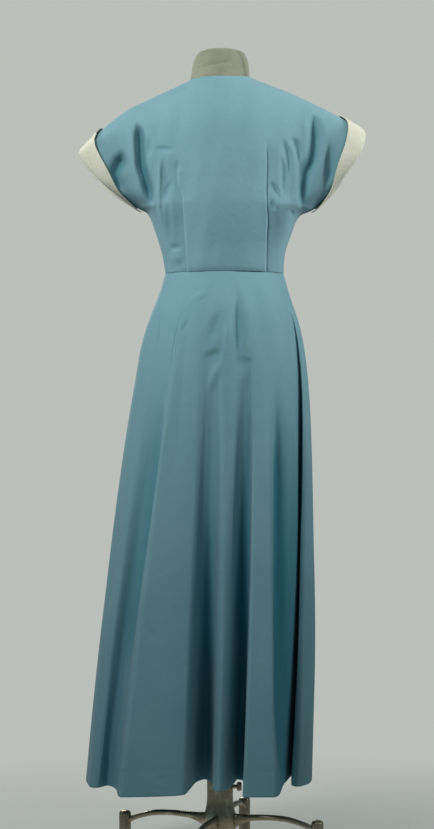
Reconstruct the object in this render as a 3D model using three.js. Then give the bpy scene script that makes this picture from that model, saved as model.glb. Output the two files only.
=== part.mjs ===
// A nurse's uniform dress of pale blue cotton with white turn-back cuffs, on a limbless dress form
// whose pole stands in a four-legged iron base. Millimetres, +Z up, floor at z = 0.
// The wearer's front faces -Y, the back faces +Y, and the wearer's left is +X.
import * as THREE from "three";

// Driving sizes
const CLOTH_WALL = 1.5;
const CUFF_WALL = 1.6;
const SEAM_GAP = 0.3;
const WAIST_Z = 1172;
const HEM_Z = 162;
const NECK_BACK_DEPTH = 56;
const NECK_FRONT_DEPTH = 80;
const NECK_FRONT_DROP = 62;
const NECK_SHARE = 0.244; // half the neckline's width, as a share of the shoulder seam's half width
const SHOULDER_ROUND_ROWS = 2.6; // sections over which the cloth rounds over from the shoulder seam
const SIDE_POWER_BACK = 2.2;
const SIDE_POWER_FRONT = 2.7;
const CUFF_FLARE = 5.5; // how far the cuff's free edge stands off the sleeve
const CUFF_STAND = 1.9; // how far its fold stands off the sleeve
const CUFF_OVERHANG = 2; // how far the cuff's fold lies beyond the sleeve's hem
const FRONT_LAP = 17; // how far each front runs past the middle
const LAP_RAMP = 45; // width over which the upper front lifts over the lower one
const POLE_X = 6;
const POLE_RADIUS = 16;
const RUNNING_GAP = 0.3;
const SOCKET_RADIUS = 26;
const FOOT_CIRCLE = 199;
const FOOT_RADIUS = 12;
const FIRST_LEG_ANGLE = -15;
const LEG_COUNT = 4;

// Bodice sections from the waist seam up to the shoulder seam. A section runs from the panel's edge on
// the wearer's right over the middle to its edge on the left. midX and midZ place its middle, back and
// front are its depths there, gape is the depth at its edge (the sleeve's mouth), and sleeve says how
// far its outline has gone over from a rounded trunk (0) to a flat sleeve (1).
const BODICE_SECTIONS = [
  { at: "waist", leftX: 115, leftZ: 1172, rightX: 121, rightZ: 1172, midX: -3, midZ: 1172,
    back: 88, front: 94, gape: 0, sleeve: 0 },
  { at: "ribs", leftX: 122, leftZ: 1212, rightX: 124, rightZ: 1212, midX: -2, midZ: 1212,
    back: 95, front: 104, gape: 0, sleeve: 0 },
  { at: "chest", leftX: 135, leftZ: 1254, rightX: 137, rightZ: 1252, midX: -1, midZ: 1254,
    back: 102, front: 118, gape: 0, sleeve: 0 },
  { at: "underarm", leftX: 150, leftZ: 1291, rightX: 153, rightZ: 1287, midX: 0, midZ: 1292,
    back: 107, front: 127, gape: 0, sleeve: 0 },
  { at: "sleeve seam", leftX: 171, leftZ: 1303, rightX: 184, rightZ: 1301, midX: 1, midZ: 1318,
    back: 109, front: 128, gape: 0, sleeve: 0.1 },
  { at: "cuff low", leftX: 212, leftZ: 1322, rightX: 216, rightZ: 1328, midX: 2, midZ: 1348,
    back: 109, front: 125, gape: 26, sleeve: 0.4 },
  { at: "cuff back", leftX: 254, leftZ: 1352, rightX: 246, rightZ: 1368, midX: 4, midZ: 1400,
    back: 107, front: 116, gape: 46, sleeve: 0.75 },
  { at: "cuff corner", leftX: 280, leftZ: 1402, rightX: 270, rightZ: 1410, midX: 6, midZ: 1470,
    back: 97, front: 102, gape: 54, sleeve: 1 },
  { at: "cuff high", leftX: 274, leftZ: 1420, rightX: 278, rightZ: 1447, midX: 8, midZ: 1522,
    back: 84, front: 90, gape: 56, sleeve: 1 },
  { at: "shoulder", leftX: 260, leftZ: 1438, rightX: 260, rightZ: 1468, midX: 8, midZ: 1559,
    back: 72, front: 82, gape: 56, sleeve: 1 },
];
const UNDERARM_ROW = 3;
const SLEEVE_SEAM_ROW = 4;
const SHOULDER_ROW = BODICE_SECTIONS.length - 1;

// Height of the shoulder seam from the side of the neck to the sleeve's tip.
const SHOULDER_LINE = [
  { share: 0.244, left: 1557, right: 1563 },
  { share: 0.4, left: 1539, right: 1547 },
  { share: 0.55, left: 1521, right: 1531 },
  { share: 0.7, left: 1503, right: 1512 },
  { share: 0.85, left: 1476, right: 1492 },
  { share: 1, left: 1438, right: 1468 },
];

// Largest folds of the back: a trough along a bowed line in the back view, fading out at both ends.
const BACK_FOLDS = [
  { at: "left armhole", fromX: 176, fromZ: 1490, toX: 149, toZ: 1304, bow: 4, width: 18, depth: 17 },
  { at: "right armhole", fromX: -179, fromZ: 1506, toX: -155, toZ: 1300, bow: 9, width: 18, depth: 17 },
  { at: "left sleeve", fromX: 200, fromZ: 1442, toX: 206, toZ: 1332, bow: 12, width: 20, depth: 9 },
  { at: "right sleeve", fromX: -216, fromZ: 1452, toX: -205, toZ: 1335, bow: 10, width: 20, depth: 7 },
];
// The hidden front gets the same armhole folds, a little softer.
const FRONT_FOLDS = [
  { at: "left armhole", fromX: 172, fromZ: 1486, toX: 152, toZ: 1310, bow: 5, width: 18, depth: 13 },
  { at: "right armhole", fromX: -175, fromZ: 1498, toX: -156, toZ: 1306, bow: 7, width: 18, depth: 13 },
  { at: "left sleeve", fromX: 206, fromZ: 1438, toX: 210, toZ: 1336, bow: 10, width: 20, depth: 7 },
  { at: "right sleeve", fromX: -212, fromZ: 1446, toX: -208, toZ: 1338, bow: 10, width: 20, depth: 7 },
];
// Stitched tucks of the back, from the waist to the shoulder blade. The middle lies over the sides.
const BACK_TUCKS = [
  { at: "left", lowX: 80, highX: 88, topZ: 1418 },
  { at: "right", lowX: -84, highX: -82, topZ: 1432 },
];
const TUCK_STEP = 3.5;
const TUCK_REACH = 26;
const WAIST_BLOUSE = 5; // how far the middle of the back puffs out over the waist seam
const BLOUSE_HALF_WIDTH = 92;
const BLOUSE_Z = 1190;
const BLOUSE_HEIGHT = 22;

// Skirt sections from the waist seam to the hem: reach to the wearer's left and right, back and front.
const SKIRT_SECTIONS = [
  { z: WAIST_Z, left: 115, right: 121, back: 88, front: 94 },
  { z: 1125, left: 129, right: 132, back: 105, front: 106 },
  { z: 1085, left: 147, right: 151, back: 118, front: 117 },
  { z: 1030, left: 163, right: 161, back: 129, front: 126 },
  { z: 950, left: 177, right: 171, back: 138, front: 136 },
  { z: 840, left: 195, right: 177, back: 147, front: 147 },
  { z: 660, left: 219, right: 181, back: 158, front: 159 },
  { z: 460, left: 244, right: 183, back: 168, front: 170 },
  { z: 290, left: 262, right: 181, back: 174, front: 177 },
  { z: HEM_Z, left: 274, right: 178, back: 178, front: 182 },
];
// Crests and troughs of the skirt's folds, going round from the wearer's left side seam over the back.
// hip is where the fold starts on the smooth hip, in degrees from the left side seam, x and y are its
// place at the hem, top is the height where it starts, and lift raises the hem there.
const SKIRT_FOLDS = [
  { hip: 0, x: 274, y: 0, top: 1100, lift: 0 },
  { hip: 20, x: 255, y: 88, top: 1100, lift: 0 },
  { hip: 36, x: 215, y: 72, top: 1110, lift: 8 },
  { hip: 47, x: 197, y: 188, top: 1130, lift: -1 },
  { hip: 58, x: 140, y: 186, top: 1100, lift: 0 },
  { hip: 68, x: 84, y: 156, top: 1070, lift: 4 },
  { hip: 76.5, x: 38, y: 38, top: 1060, lift: 14 },
  { hip: 84, x: 22, y: 102, top: 1090, lift: 3 },
  { hip: 95, x: -8, y: 88, top: 1110, lift: 4 },
  { hip: 102, x: -38, y: 30, top: 1130, lift: 10 },
  { hip: 112, x: -46, y: 190, top: 1080, lift: -1 },
  { hip: 123, x: -104, y: 183, top: 1060, lift: -1 },
  { hip: 131, x: -122, y: 84, top: 1060, lift: 10 },
  { hip: 143, x: -132, y: 104, top: 1060, lift: 8 },
  { hip: 155, x: -139, y: 34, top: 1070, lift: 6 },
  { hip: 165, x: -151, y: 82, top: 1070, lift: 0 },
  { hip: 173, x: -172, y: 44, top: 1080, lift: 0 },
  { hip: 180, x: -178, y: 0, top: 1090, lift: 0 },
  { hip: 192, x: -170, y: -60, top: 1090, lift: 0 },
  { hip: 203, x: -142, y: -90, top: 1080, lift: 6 },
  { hip: 214, x: -128, y: -172, top: 1080, lift: 0 },
  { hip: 230, x: -72, y: -188, top: 1080, lift: 0 },
  { hip: 243, x: -42, y: -92, top: 1060, lift: 10 },
  { hip: 255, x: -18, y: -184, top: 1080, lift: 0 },
  { hip: 272, x: 48, y: -192, top: 1080, lift: 0 },
  { hip: 285, x: 82, y: -100, top: 1050, lift: 10 },
  { hip: 297, x: 110, y: -188, top: 1080, lift: 0 },
  { hip: 312, x: 172, y: -176, top: 1090, lift: 0 },
  { hip: 322, x: 198, y: -112, top: 1070, lift: 6 },
  { hip: 335, x: 238, y: -122, top: 1090, lift: 0 },
  { hip: 348, x: 268, y: -58, top: 1100, lift: 0 },
];
const RIGHT_SEAM_FOLD = SKIRT_FOLDS.findIndex((fold) => fold.hip === 180);
const FOLD_GROWTH = 1.3; // folds open slowly below the hip, then along straight lines

// Rings of the dress form, from its flat bottom to the top of its neck.
const FORM_RINGS = [
  { z: 958, x: -2, half: 150, back: 106, front: 106 },
  { z: 964, x: -2, half: 155, back: 111, front: 111 },
  { z: 1000, x: -2, half: 157, back: 114, front: 114 },
  { z: 1040, x: -2, half: 153, back: 112, front: 112 },
  { z: 1090, x: -2, half: 139, back: 105, front: 105 },
  { z: 1130, x: -3, half: 122, back: 95, front: 96 },
  { z: WAIST_Z, x: -3, half: 110, back: 83, front: 88 },
  { z: 1212, x: -2, half: 116, back: 87, front: 97 },
  { z: 1250, x: -1, half: 127, back: 93, front: 109 },
  { z: 1290, x: 0, half: 137, back: 97, front: 117 },
  { z: 1330, x: 0, half: 141, back: 97, front: 117 },
  { z: 1370, x: 1, half: 144, back: 94, front: 108 },
  { z: 1420, x: 2, half: 150, back: 88, front: 93 },
  { z: 1460, x: 3, half: 155, back: 80, front: 77 },
  { z: 1488, x: 4, half: 156, back: 71, front: 65 },
  { z: 1505, x: 5, half: 150, back: 63, front: 55 },
  { z: 1520, x: 6, half: 132, back: 58, front: 48 },
  { z: 1535, x: 7, half: 99, back: 52.5, front: 43 },
  { z: 1546, x: 7, half: 74.6, back: 49.8, front: 42 },
  { z: 1553, x: 7, half: 61.6, back: 49.8, front: 43 },
  { z: 1564, x: 7, half: 56, back: 49, front: 44 },
  { z: 1586, x: 7, half: 51, back: 46, front: 42 },
  { z: 1606, x: 7, half: 45, back: 41, front: 37 },
  { z: 1615, x: 7, half: 39, back: 35, front: 32 },
  { z: 1620, x: 7, half: 28, back: 25, front: 22 },
];

const BUTTON_HEIGHTS = [1474, 1408, 1342, 1276, 1208];
const BUTTON_RADIUS = 7;
const BUTTON_THICKNESS = 3;

// Colours and finishes
const blueCotton = new THREE.MeshStandardMaterial({ color: 0x6fa3b4, roughness: 0.85, metalness: 0 });
const whiteCotton = new THREE.MeshStandardMaterial({ color: 0xe4e4d6, roughness: 0.85, metalness: 0 });
const formCover = new THREE.MeshStandardMaterial({ color: 0x9a978a, roughness: 0.95, metalness: 0 });
const buttonShell = new THREE.MeshStandardMaterial({ color: 0xf0efe8, roughness: 0.35, metalness: 0 });
const standIron = new THREE.MeshStandardMaterial({ color: 0x5b564d, roughness: 0.45, metalness: 0.9 });

// Smooth curve through four equally spaced values, between the second and the third
function smoothValue(before, start, end, after, share) {
  const slopeIn = (end - before) / 2;
  const slopeOut = (after - start) / 2;
  const square = share * share;
  const cube = square * share;
  return (2 * cube - 3 * square + 1) * start + (cube - 2 * square + share) * slopeIn
    + (3 * square - 2 * cube) * end + (cube - square) * slopeOut;
}

// A table's column at a row number that may lie between rows
function column(table, name, row) {
  const index = Math.max(0, Math.min(Math.floor(row), table.length - 2));
  const start = table[index][name];
  const end = table[index + 1][name];
  const before = index > 0 ? table[index - 1][name] : 2 * start - end;
  const after = index + 2 < table.length ? table[index + 2][name] : 2 * end - start;
  return smoothValue(before, start, end, after, row - index);
}

// The same for a table that goes round, where the row after the last is the first
function roundColumn(table, name, row) {
  const index = Math.floor(row);
  const value = (step) => table[(index + step + table.length) % table.length][name];
  return smoothValue(value(-1), value(0), value(1), value(2), row - index);
}

function clamp01(value) {
  return Math.max(0, Math.min(1, value));
}

function easedStep(value) {
  const share = clamp01(value);
  return share * share * (3 - 2 * share);
}

// Row number of a table where a rising or falling column passes a value
function rowWhere(table, name, value) {
  const rising = table[table.length - 1][name] > table[0][name];
  let row = 0;
  while (row < table.length - 2 && (table[row + 1][name] < value) === rising) row += 1;
  const start = table[row][name];
  return row + (value - start) / (table[row + 1][name] - start);
}

// How deep a point of the back view lies in a table of bowed troughs
function troughDepth(folds, x, z) {
  let depth = 0;
  for (const fold of folds) {
    const lineX = fold.toX - fold.fromX;
    const lineZ = fold.toZ - fold.fromZ;
    const length = Math.hypot(lineX, lineZ);
    const along = ((x - fold.fromX) * lineX + (z - fold.fromZ) * lineZ) / (length * length);
    const across = ((x - fold.fromX) * lineZ - (z - fold.fromZ) * lineX) / length;
    const bowed = across + fold.bow * Math.sign(fold.fromX) * Math.sin(Math.PI * clamp01(along));
    const fade = Math.sin(Math.PI * clamp01(along)) ** 0.8;
    depth += fold.depth * fade * Math.exp(-((bowed / fold.width) ** 2));
  }
  return depth;
}

// The middle of the back lies over the sides along each tuck: a step up towards the middle
function tuckStep(x, z) {
  let lift = 0;
  for (const tuck of BACK_TUCKS) {
    const share = clamp01((z - WAIST_Z) / (tuck.topZ - WAIST_Z));
    const lineX = tuck.lowX + (tuck.highX - tuck.lowX) * share;
    const outside = (x - lineX) * Math.sign(lineX);
    const fade = easedStep((tuck.topZ - z) / 60);
    if (outside >= 0 && outside < TUCK_REACH) lift -= TUCK_STEP * fade * (1 - outside / TUCK_REACH);
  }
  return lift;
}

// The middle of the back puffs out a little above the waist seam
function waistBlouse(x, z) {
  const across = easedStep((BLOUSE_HALF_WIDTH - Math.abs(x)) / 20);
  const rise = easedStep((z - WAIST_Z) / (BLOUSE_Z - WAIST_Z));
  return WAIST_BLOUSE * across * rise * Math.exp(-(((z - BLOUSE_Z) / BLOUSE_HEIGHT) ** 2));
}

// Point of the bodice. across runs from -1 at the wearer's right edge to 1 at the left edge, row is a
// section's number, and facing is 1 on the back and -1 on the front.
function bodicePoint(across, row, facing) {
  const side = across >= 0 ? "left" : "right";
  const share = Math.abs(across);
  const x = across * column(BODICE_SECTIONS, `${side}X`, row)
    + column(BODICE_SECTIONS, "midX", row) * (1 - share);
  const edgeZ = column(BODICE_SECTIONS, `${side}Z`, row);
  const midZ = column(BODICE_SECTIONS, "midZ", row);
  const gape = Math.max(0, column(BODICE_SECTIONS, "gape", row));
  const sleeve = clamp01(column(BODICE_SECTIONS, "sleeve", row));
  const depth = column(BODICE_SECTIONS, facing > 0 ? "back" : "front", row);

  const napeZ = BODICE_SECTIONS[SHOULDER_ROW].midZ;
  const tipZ = BODICE_SECTIONS[SHOULDER_ROW][`${side}Z`];
  const seamZ = share <= NECK_SHARE
    ? napeZ + (SHOULDER_LINE[0][side] - napeZ) * (share / NECK_SHARE) ** 2
    : column(SHOULDER_LINE, side, rowWhere(SHOULDER_LINE, "share", Math.min(share, 1)));
  const fall = (napeZ - seamZ) / (napeZ - tipZ);
  const neckRound = Math.sqrt(Math.max(0, 1 - (share / NECK_SHARE) ** 2));
  const underarmZ = BODICE_SECTIONS[UNDERARM_ROW].midZ;
  const rise = clamp01((midZ - underarmZ) / (napeZ - underarmZ));
  const neckDrop = facing > 0 ? 0 : NECK_FRONT_DROP * neckRound ** 2.4 * rise;
  const z = midZ + (edgeZ - midZ) * fall - neckDrop;

  const trunk = Math.sqrt(Math.max(0, 1 - share ** (facing > 0 ? SIDE_POWER_BACK : SIDE_POWER_FRONT)));
  const flat = (1 + Math.cos(Math.PI * Math.min(1, share))) / 2;
  const bodyY = gape + (depth - gape) * (trunk + (flat - trunk) * sleeve);
  const neckY = (facing > 0 ? NECK_BACK_DEPTH : NECK_FRONT_DEPTH) * neckRound;
  const down = clamp01((SHOULDER_ROW - row) / SHOULDER_ROUND_ROWS);
  const y = neckY + (bodyY - neckY) * Math.sqrt(1 - (1 - down) ** 2);

  const folds = troughDepth(facing > 0 ? BACK_FOLDS : FRONT_FOLDS, x, z);
  const details = facing > 0 ? tuckStep(x, z) + waistBlouse(x, z) : 0;
  // Folds and tucks die out at the seams, where back and front meet, and under the stiff cuffs
  const open = easedStep(y / 40) * easedStep((1 - share) / 0.16);
  return new THREE.Vector3(x, facing * Math.max(SEAM_GAP / 2, y + (details - folds) * open), z);
}

// Point of the skirt. turn is a row of the fold table, going round, and row is a section's number.
function skirtPoint(turn, row) {
  const sections = SKIRT_SECTIONS;
  const count = SKIRT_FOLDS.length;
  const wrapped = ((turn % count) + count) % count;
  const lap = wrapped >= count - 1 ? 360 : 0;
  const index = Math.floor(wrapped);
  const start = SKIRT_FOLDS[index].hip;
  const end = SKIRT_FOLDS[(index + 1) % count].hip + lap;
  const hip = THREE.MathUtils.degToRad(start + (end - start) * (wrapped - index));
  const z = column(sections, "z", row);
  const smooth = (sectionRow) => new THREE.Vector2(
    Math.cos(hip) * column(sections, Math.cos(hip) >= 0 ? "left" : "right", sectionRow),
    Math.sin(hip) * column(sections, Math.sin(hip) >= 0 ? "back" : "front", sectionRow),
  );
  const hemX = roundColumn(SKIRT_FOLDS, "x", wrapped);
  const hemY = roundColumn(SKIRT_FOLDS, "y", wrapped);
  const hem = new THREE.Vector2(hemX, hemY);
  const top = roundColumn(SKIRT_FOLDS, "top", wrapped);
  const opened = clamp01((top - z) / (top - HEM_Z)) ** FOLD_GROWTH;
  const place = smooth(row).addScaledVector(hem.sub(smooth(sections.length - 1)), opened);
  const lift = roundColumn(SKIRT_FOLDS, "lift", wrapped) * opened ** 2;
  return new THREE.Vector3(place.x, place.y, z + lift);
}

// Closed mesh from corner points and triangles
function meshOf(name, points, triangles, material) {
  const geometry = new THREE.BufferGeometry().setFromPoints(points);
  geometry.setIndex(triangles.flat());
  geometry.computeVertexNormals();
  const mesh = new THREE.Mesh(geometry, material);
  mesh.name = name;
  return mesh;
}

// Wall between an outer and an inner grid of points of the same size, closed along its edges.
// rows[i][j] runs so that (next row) x (next column) points out of the cloth. A ring closes on itself.
function wallBetween(name, outer, inner, material, isRing) {
  const rowCount = outer.length;
  const width = outer[0].length;
  const points = [...outer.flat(), ...inner.flat()];
  const offset = rowCount * width;
  const at = (row, col, layer) => layer * offset + row * width + (col % width);
  const triangles = [];
  const quad = (a, b, c, d) => triangles.push([a, b, c], [a, c, d]);
  const lastColumn = isRing ? width : width - 1;
  for (let row = 0; row < rowCount - 1; row += 1) {
    for (let col = 0; col < lastColumn; col += 1) {
      quad(at(row, col, 0), at(row + 1, col, 0), at(row + 1, col + 1, 0), at(row, col + 1, 0));
      quad(at(row, col, 1), at(row, col + 1, 1), at(row + 1, col + 1, 1), at(row + 1, col, 1));
    }
    if (!isRing) {
      quad(at(row, 0, 0), at(row, 0, 1), at(row + 1, 0, 1), at(row + 1, 0, 0));
      const end = lastColumn;
      quad(at(row, end, 0), at(row + 1, end, 0), at(row + 1, end, 1), at(row, end, 1));
    }
  }
  const top = rowCount - 1;
  for (let col = 0; col < lastColumn; col += 1) {
    quad(at(0, col, 0), at(0, col + 1, 0), at(0, col + 1, 1), at(0, col, 1));
    quad(at(top, col, 0), at(top, col, 1), at(top, col + 1, 1), at(top, col + 1, 0));
  }
  return meshOf(name, points, triangles, material);
}

// Unit normal of a surface function at (a, b), from points a little to each side
function normalAt(surface, a, b, stepA, stepB) {
  const alongA = surface(a + stepA, b).sub(surface(a - stepA, b));
  const alongB = surface(a, b + stepB).sub(surface(a, b - stepB));
  return alongB.cross(alongA).normalize();
}

// Shares of a panel's width: round over the neckline, then closer and closer towards the edge
function bodiceColumns(neckSteps, shoulderSteps) {
  const shares = [];
  for (let i = 0; i < neckSteps; i += 1) shares.push(NECK_SHARE * Math.sin((i / neckSteps) * Math.PI / 2));
  for (let i = 0; i <= shoulderSteps; i += 1) {
    shares.push(NECK_SHARE + (1 - NECK_SHARE) * Math.sin((i / shoulderSteps) * Math.PI / 2));
  }
  return shares;
}

// Places between the bodice's sections where its mesh has a row, closer over the waist and the shoulder
const BODICE_ROWS = [
  0, 0.3, 0.6, 1.1, 1.7, 2.3, 3, 3.5, 4, 4.5, 5, 5.5, 6, 6.6, 7.2, 7.8, 8.3, 8.65, 8.88, SHOULDER_ROW,
];
const NECK_STEPS = 4;
const SHOULDER_STEPS = 10;

// Outward normal of the bodice, level at the waist seam and upright where back and front meet
function bodiceNormal(across, row, facing) {
  const inside = Math.sign(across || 1) * Math.min(Math.abs(across), 0.996);
  const lower = Math.max(0.02, Math.min(row, SHOULDER_ROW - 0.03));
  const surface = (a, b) => bodicePoint(a, b, facing);
  const normal = normalAt(surface, inside, lower, 0.003, 0.015).multiplyScalar(facing);
  if (row === 0) normal.z = 0;
  const point = bodicePoint(across, row, facing);
  if (Math.abs(point.y) < 1) normal.y = 0;
  return normal.normalize();
}

// One bodice panel. sharesAt gives the places across it at a section, lift moves a point out of its face.
function bodicePanel(name, sharesAt, facing, lift) {
  const outer = [];
  const inner = [];
  for (const row of BODICE_ROWS) {
    const outerRow = [];
    const innerRow = [];
    for (const across of sharesAt(row)) {
      const normal = bodiceNormal(across, row, facing);
      const point = bodicePoint(across, row, facing).addScaledVector(normal, lift(across, row));
      if (row === 0) point.z += SEAM_GAP / 2;
      outerRow.push(point);
      innerRow.push(point.clone().addScaledVector(normal, -CLOTH_WALL));
    }
    outer.push(outerRow);
    inner.push(innerRow);
  }
  return wallBetween(name, outer, inner, blueCotton, false);
}

function backPanel() {
  const half = bodiceColumns(NECK_STEPS, SHOULDER_STEPS);
  const shares = [...half.slice(1).reverse().map((share) => -share), ...half];
  return bodicePanel("bodice_back", () => shares, 1, () => 0);
}

// Each front runs past the middle, and the wearer's right front lies over the left one
function frontPanel(name, sign) {
  const half = bodiceColumns(NECK_STEPS, SHOULDER_STEPS);
  const sharesAt = (row) => {
    const lap = FRONT_LAP / column(BODICE_SECTIONS, "leftX", row);
    const shares = [-lap, -lap / 2, 0, lap / 2, lap, ...half.slice(2)].map((share) => share * sign);
    return sign > 0 ? shares.reverse() : shares;
  };
  const lift = (across, row) => {
    if (sign > 0) return 0;
    const fromMiddle = -across * column(BODICE_SECTIONS, "rightX", row);
    return (CLOTH_WALL + SEAM_GAP) * easedStep((LAP_RAMP - fromMiddle) / (LAP_RAMP - FRONT_LAP - 3));
  };
  return bodicePanel(name, sharesAt, -1, lift);
}

// Skirt panel between two rows of the fold table
function skirtPanel(name, firstFold, lastFold, columns, rows) {
  const outer = [];
  const inner = [];
  const lastSection = SKIRT_SECTIONS.length - 1;
  for (let i = 0; i <= rows; i += 1) {
    const row = lastSection * (i / rows);
    const outerRow = [];
    const innerRow = [];
    for (let j = 0; j <= columns; j += 1) {
      const place = firstFold + (lastFold - firstFold) * (j / columns);
      const speed = skirtPoint(place + 0.01, row).distanceTo(skirtPoint(place - 0.01, row)) / 0.02;
      const trim = (j === 0 ? 1 : 0) - (j === columns ? 1 : 0);
      const turn = place + trim * (SEAM_GAP / 2 + 0.05) / speed;
      const point = skirtPoint(turn, row);
      const inside = Math.max(0.02, Math.min(row, lastSection - 0.02));
      const normal = normalAt(skirtPoint, turn, inside, 0.02, 0.02);
      if (i === 0) {
        normal.setZ(0).normalize();
        point.z -= SEAM_GAP / 2;
      }
      outerRow.push(point);
      innerRow.push(point.clone().addScaledVector(normal, -CLOTH_WALL));
    }
    outer.push(outerRow);
    inner.push(innerRow);
  }
  return wallBetween(name, outer, inner, blueCotton, false);
}

// Turn-back cuff: a band on the sleeve's mouth, from its fold to the free edge that stands off the sleeve.
// Round the mouth it goes up the back from the sleeve's seam to the shoulder seam and down the front.
const CUFF_WIDTHS = [
  { row: 4, width: 12 },
  { row: 5, width: 24 },
  { row: 6, width: 36 },
  { row: 7, width: 40 },
  { row: 8, width: 36 },
  { row: 9, width: 31 },
];
const CUFF_BANDS = 3;
const CUFF_ROWS = BODICE_ROWS.filter((row) => row >= SLEEVE_SEAM_ROW);

// Point of the sleeve at a distance in from its mouth, and the way out of the cloth there
function sleevePoint(sign, row, distance, facing) {
  const edge = (across, at) => bodicePoint(sign * across, at, facing);
  const turnIn = easedStep((row - SLEEVE_SEAM_ROW) / 0.9) * Math.PI / 2;
  const speedAcross = edge(1, row).distanceTo(edge(0.97, row)) / 0.03;
  const speedUp = edge(1, row).distanceTo(edge(1, row - 0.1)) / 0.1;
  const across = 1 - Math.sin(turnIn) * distance / speedAcross;
  const at = row - Math.cos(turnIn) * distance / speedUp;
  return { point: edge(across, at), normal: bodiceNormal(sign * across, Math.max(at, 0.02), facing) };
}

function cuff(name, sign) {
  const outer = [];
  const inner = [];
  const mouth = [
    ...CUFF_ROWS.map((row) => ({ row, facing: 1 })),
    ...CUFF_ROWS.slice(1, -1).reverse().map((row) => ({ row, facing: -1 })),
  ];
  if (sign < 0) mouth.reverse();
  for (let band = 0; band <= CUFF_BANDS; band += 1) {
    const outerRow = [];
    const innerRow = [];
    const share = band / CUFF_BANDS;
    for (const { row, facing } of mouth) {
      const climb = (row - SLEEVE_SEAM_ROW) / (SHOULDER_ROW - SLEEVE_SEAM_ROW);
      const width = column(CUFF_WIDTHS, "width", row - SLEEVE_SEAM_ROW);
      const distance = share * (width + CUFF_OVERHANG) - CUFF_OVERHANG;
      const { point, normal } = sleevePoint(sign, row, distance, facing);
      if (climb === 0 || climb === 1) point.y = 0;
      const stand = CUFF_STAND + CUFF_FLARE * share ** 0.6 * (0.4 + 0.6 * climb);
      innerRow.push(point.clone().addScaledVector(normal, stand));
      outerRow.push(point.clone().addScaledVector(normal, stand + CUFF_WALL));
    }
    outer.push(outerRow);
    inner.push(innerRow);
  }
  return wallBetween(name, outer, inner, whiteCotton, true);
}

// Sewn-through button on the upper front, at the middle
function button(name, height) {
  const heightAt = (row) => bodicePoint(0, row, -1).z;
  let low = 0;
  let high = SHOULDER_ROW;
  while (high - low > 1e-4) {
    const middle = (low + high) / 2;
    if (heightAt(middle) < height) low = middle;
    else high = middle;
  }
  const normal = bodiceNormal(0, low, -1);
  const lift = CLOTH_WALL + 2 * SEAM_GAP + 0.1;
  const place = bodicePoint(0, low, -1).addScaledVector(normal, lift + BUTTON_THICKNESS / 2);
  const disc = new THREE.CylinderGeometry(BUTTON_RADIUS, BUTTON_RADIUS, BUTTON_THICKNESS, 20);
  const mesh = new THREE.Mesh(disc, buttonShell);
  mesh.name = name;
  mesh.position.copy(place);
  mesh.quaternion.setFromUnitVectors(new THREE.Vector3(0, 1, 0), normal);
  return mesh;
}

// Closed body through level rings, flat at the bottom and at the top
function formBody(segments) {
  const points = [];
  const triangles = [];
  const rings = FORM_RINGS.length;
  for (const ring of FORM_RINGS) {
    for (let i = 0; i < segments; i += 1) {
      const angle = (i / segments) * 2 * Math.PI;
      const depth = Math.sin(angle) >= 0 ? ring.back : ring.front;
      points.push(new THREE.Vector3(ring.x + ring.half * Math.cos(angle), depth * Math.sin(angle), ring.z));
    }
  }
  for (let ring = 0; ring < rings - 1; ring += 1) {
    for (let i = 0; i < segments; i += 1) {
      const a = ring * segments + i;
      const b = ring * segments + (i + 1) % segments;
      triangles.push([a, b, b + segments], [a, b + segments, a + segments]);
    }
  }
  const last = (rings - 1) * segments;
  for (let i = 1; i < segments - 1; i += 1) {
    triangles.push([0, i + 1, i], [last, last + i, last + i + 1]);
  }
  return meshOf("form_body", points, triangles, formCover);
}

// Turned piece about the vertical, from a profile of (radius, height) that starts and ends on the axis
function turned(name, profile, segments, x, y) {
  const outline = profile.map(([radius, height]) => new THREE.Vector2(radius, height));
  const mesh = new THREE.Mesh(new THREE.LatheGeometry(outline, segments), standIron);
  mesh.name = name;
  mesh.rotation.x = Math.PI / 2;
  mesh.position.set(x, y, 0);
  return mesh;
}

const POLE_FOOT_Z = 66;
const FORM_BOTTOM_Z = FORM_RINGS[0].z;
const PLATE_RADIUS = 55;
const PLATE_BOTTOM_Z = FORM_BOTTOM_Z - 8;
const HUB_RADIUS = 32;
const HUB_TOP_Z = 98;
const HUB_BOTTOM_Z = 56;
const SOCKET_TOP_Z = 188;

// The pole, which slides in the hub's tube
function pole() {
  const top = PLATE_BOTTOM_Z - SEAM_GAP;
  return turned("stand_pole", [[0, POLE_FOOT_Z], [POLE_RADIUS, POLE_FOOT_Z], [POLE_RADIUS, top], [0, top]],
    28, POLE_X, 0);
}

// The round plate on the pole, screwed to the form's underside
function formPlate() {
  const top = FORM_BOTTOM_Z - SEAM_GAP;
  return turned("form_plate", [
    [0, PLATE_BOTTOM_Z], [PLATE_RADIUS - 2, PLATE_BOTTOM_Z], [PLATE_RADIUS, PLATE_BOTTOM_Z + 2],
    [PLATE_RADIUS, top], [0, top],
  ], 28, POLE_X, 0);
}

// The iron hub with its tube, which the pole slides in
function socket() {
  const bore = POLE_RADIUS + RUNNING_GAP;
  return turned("stand_socket", [
    [0, HUB_BOTTOM_Z], [HUB_RADIUS - 8, HUB_BOTTOM_Z], [HUB_RADIUS, HUB_BOTTOM_Z + 8],
    [HUB_RADIUS, HUB_TOP_Z - 8], [HUB_RADIUS - 2, HUB_TOP_Z], [SOCKET_RADIUS + 1, HUB_TOP_Z + 14],
    [SOCKET_RADIUS, HUB_TOP_Z + 26], [SOCKET_RADIUS, SOCKET_TOP_Z - 2], [SOCKET_RADIUS - 2, SOCKET_TOP_Z],
    [bore, SOCKET_TOP_Z], [bore, POLE_FOOT_Z - SEAM_GAP], [0, POLE_FOOT_Z - SEAM_GAP],
  ], 28, POLE_X, 0);
}

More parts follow.
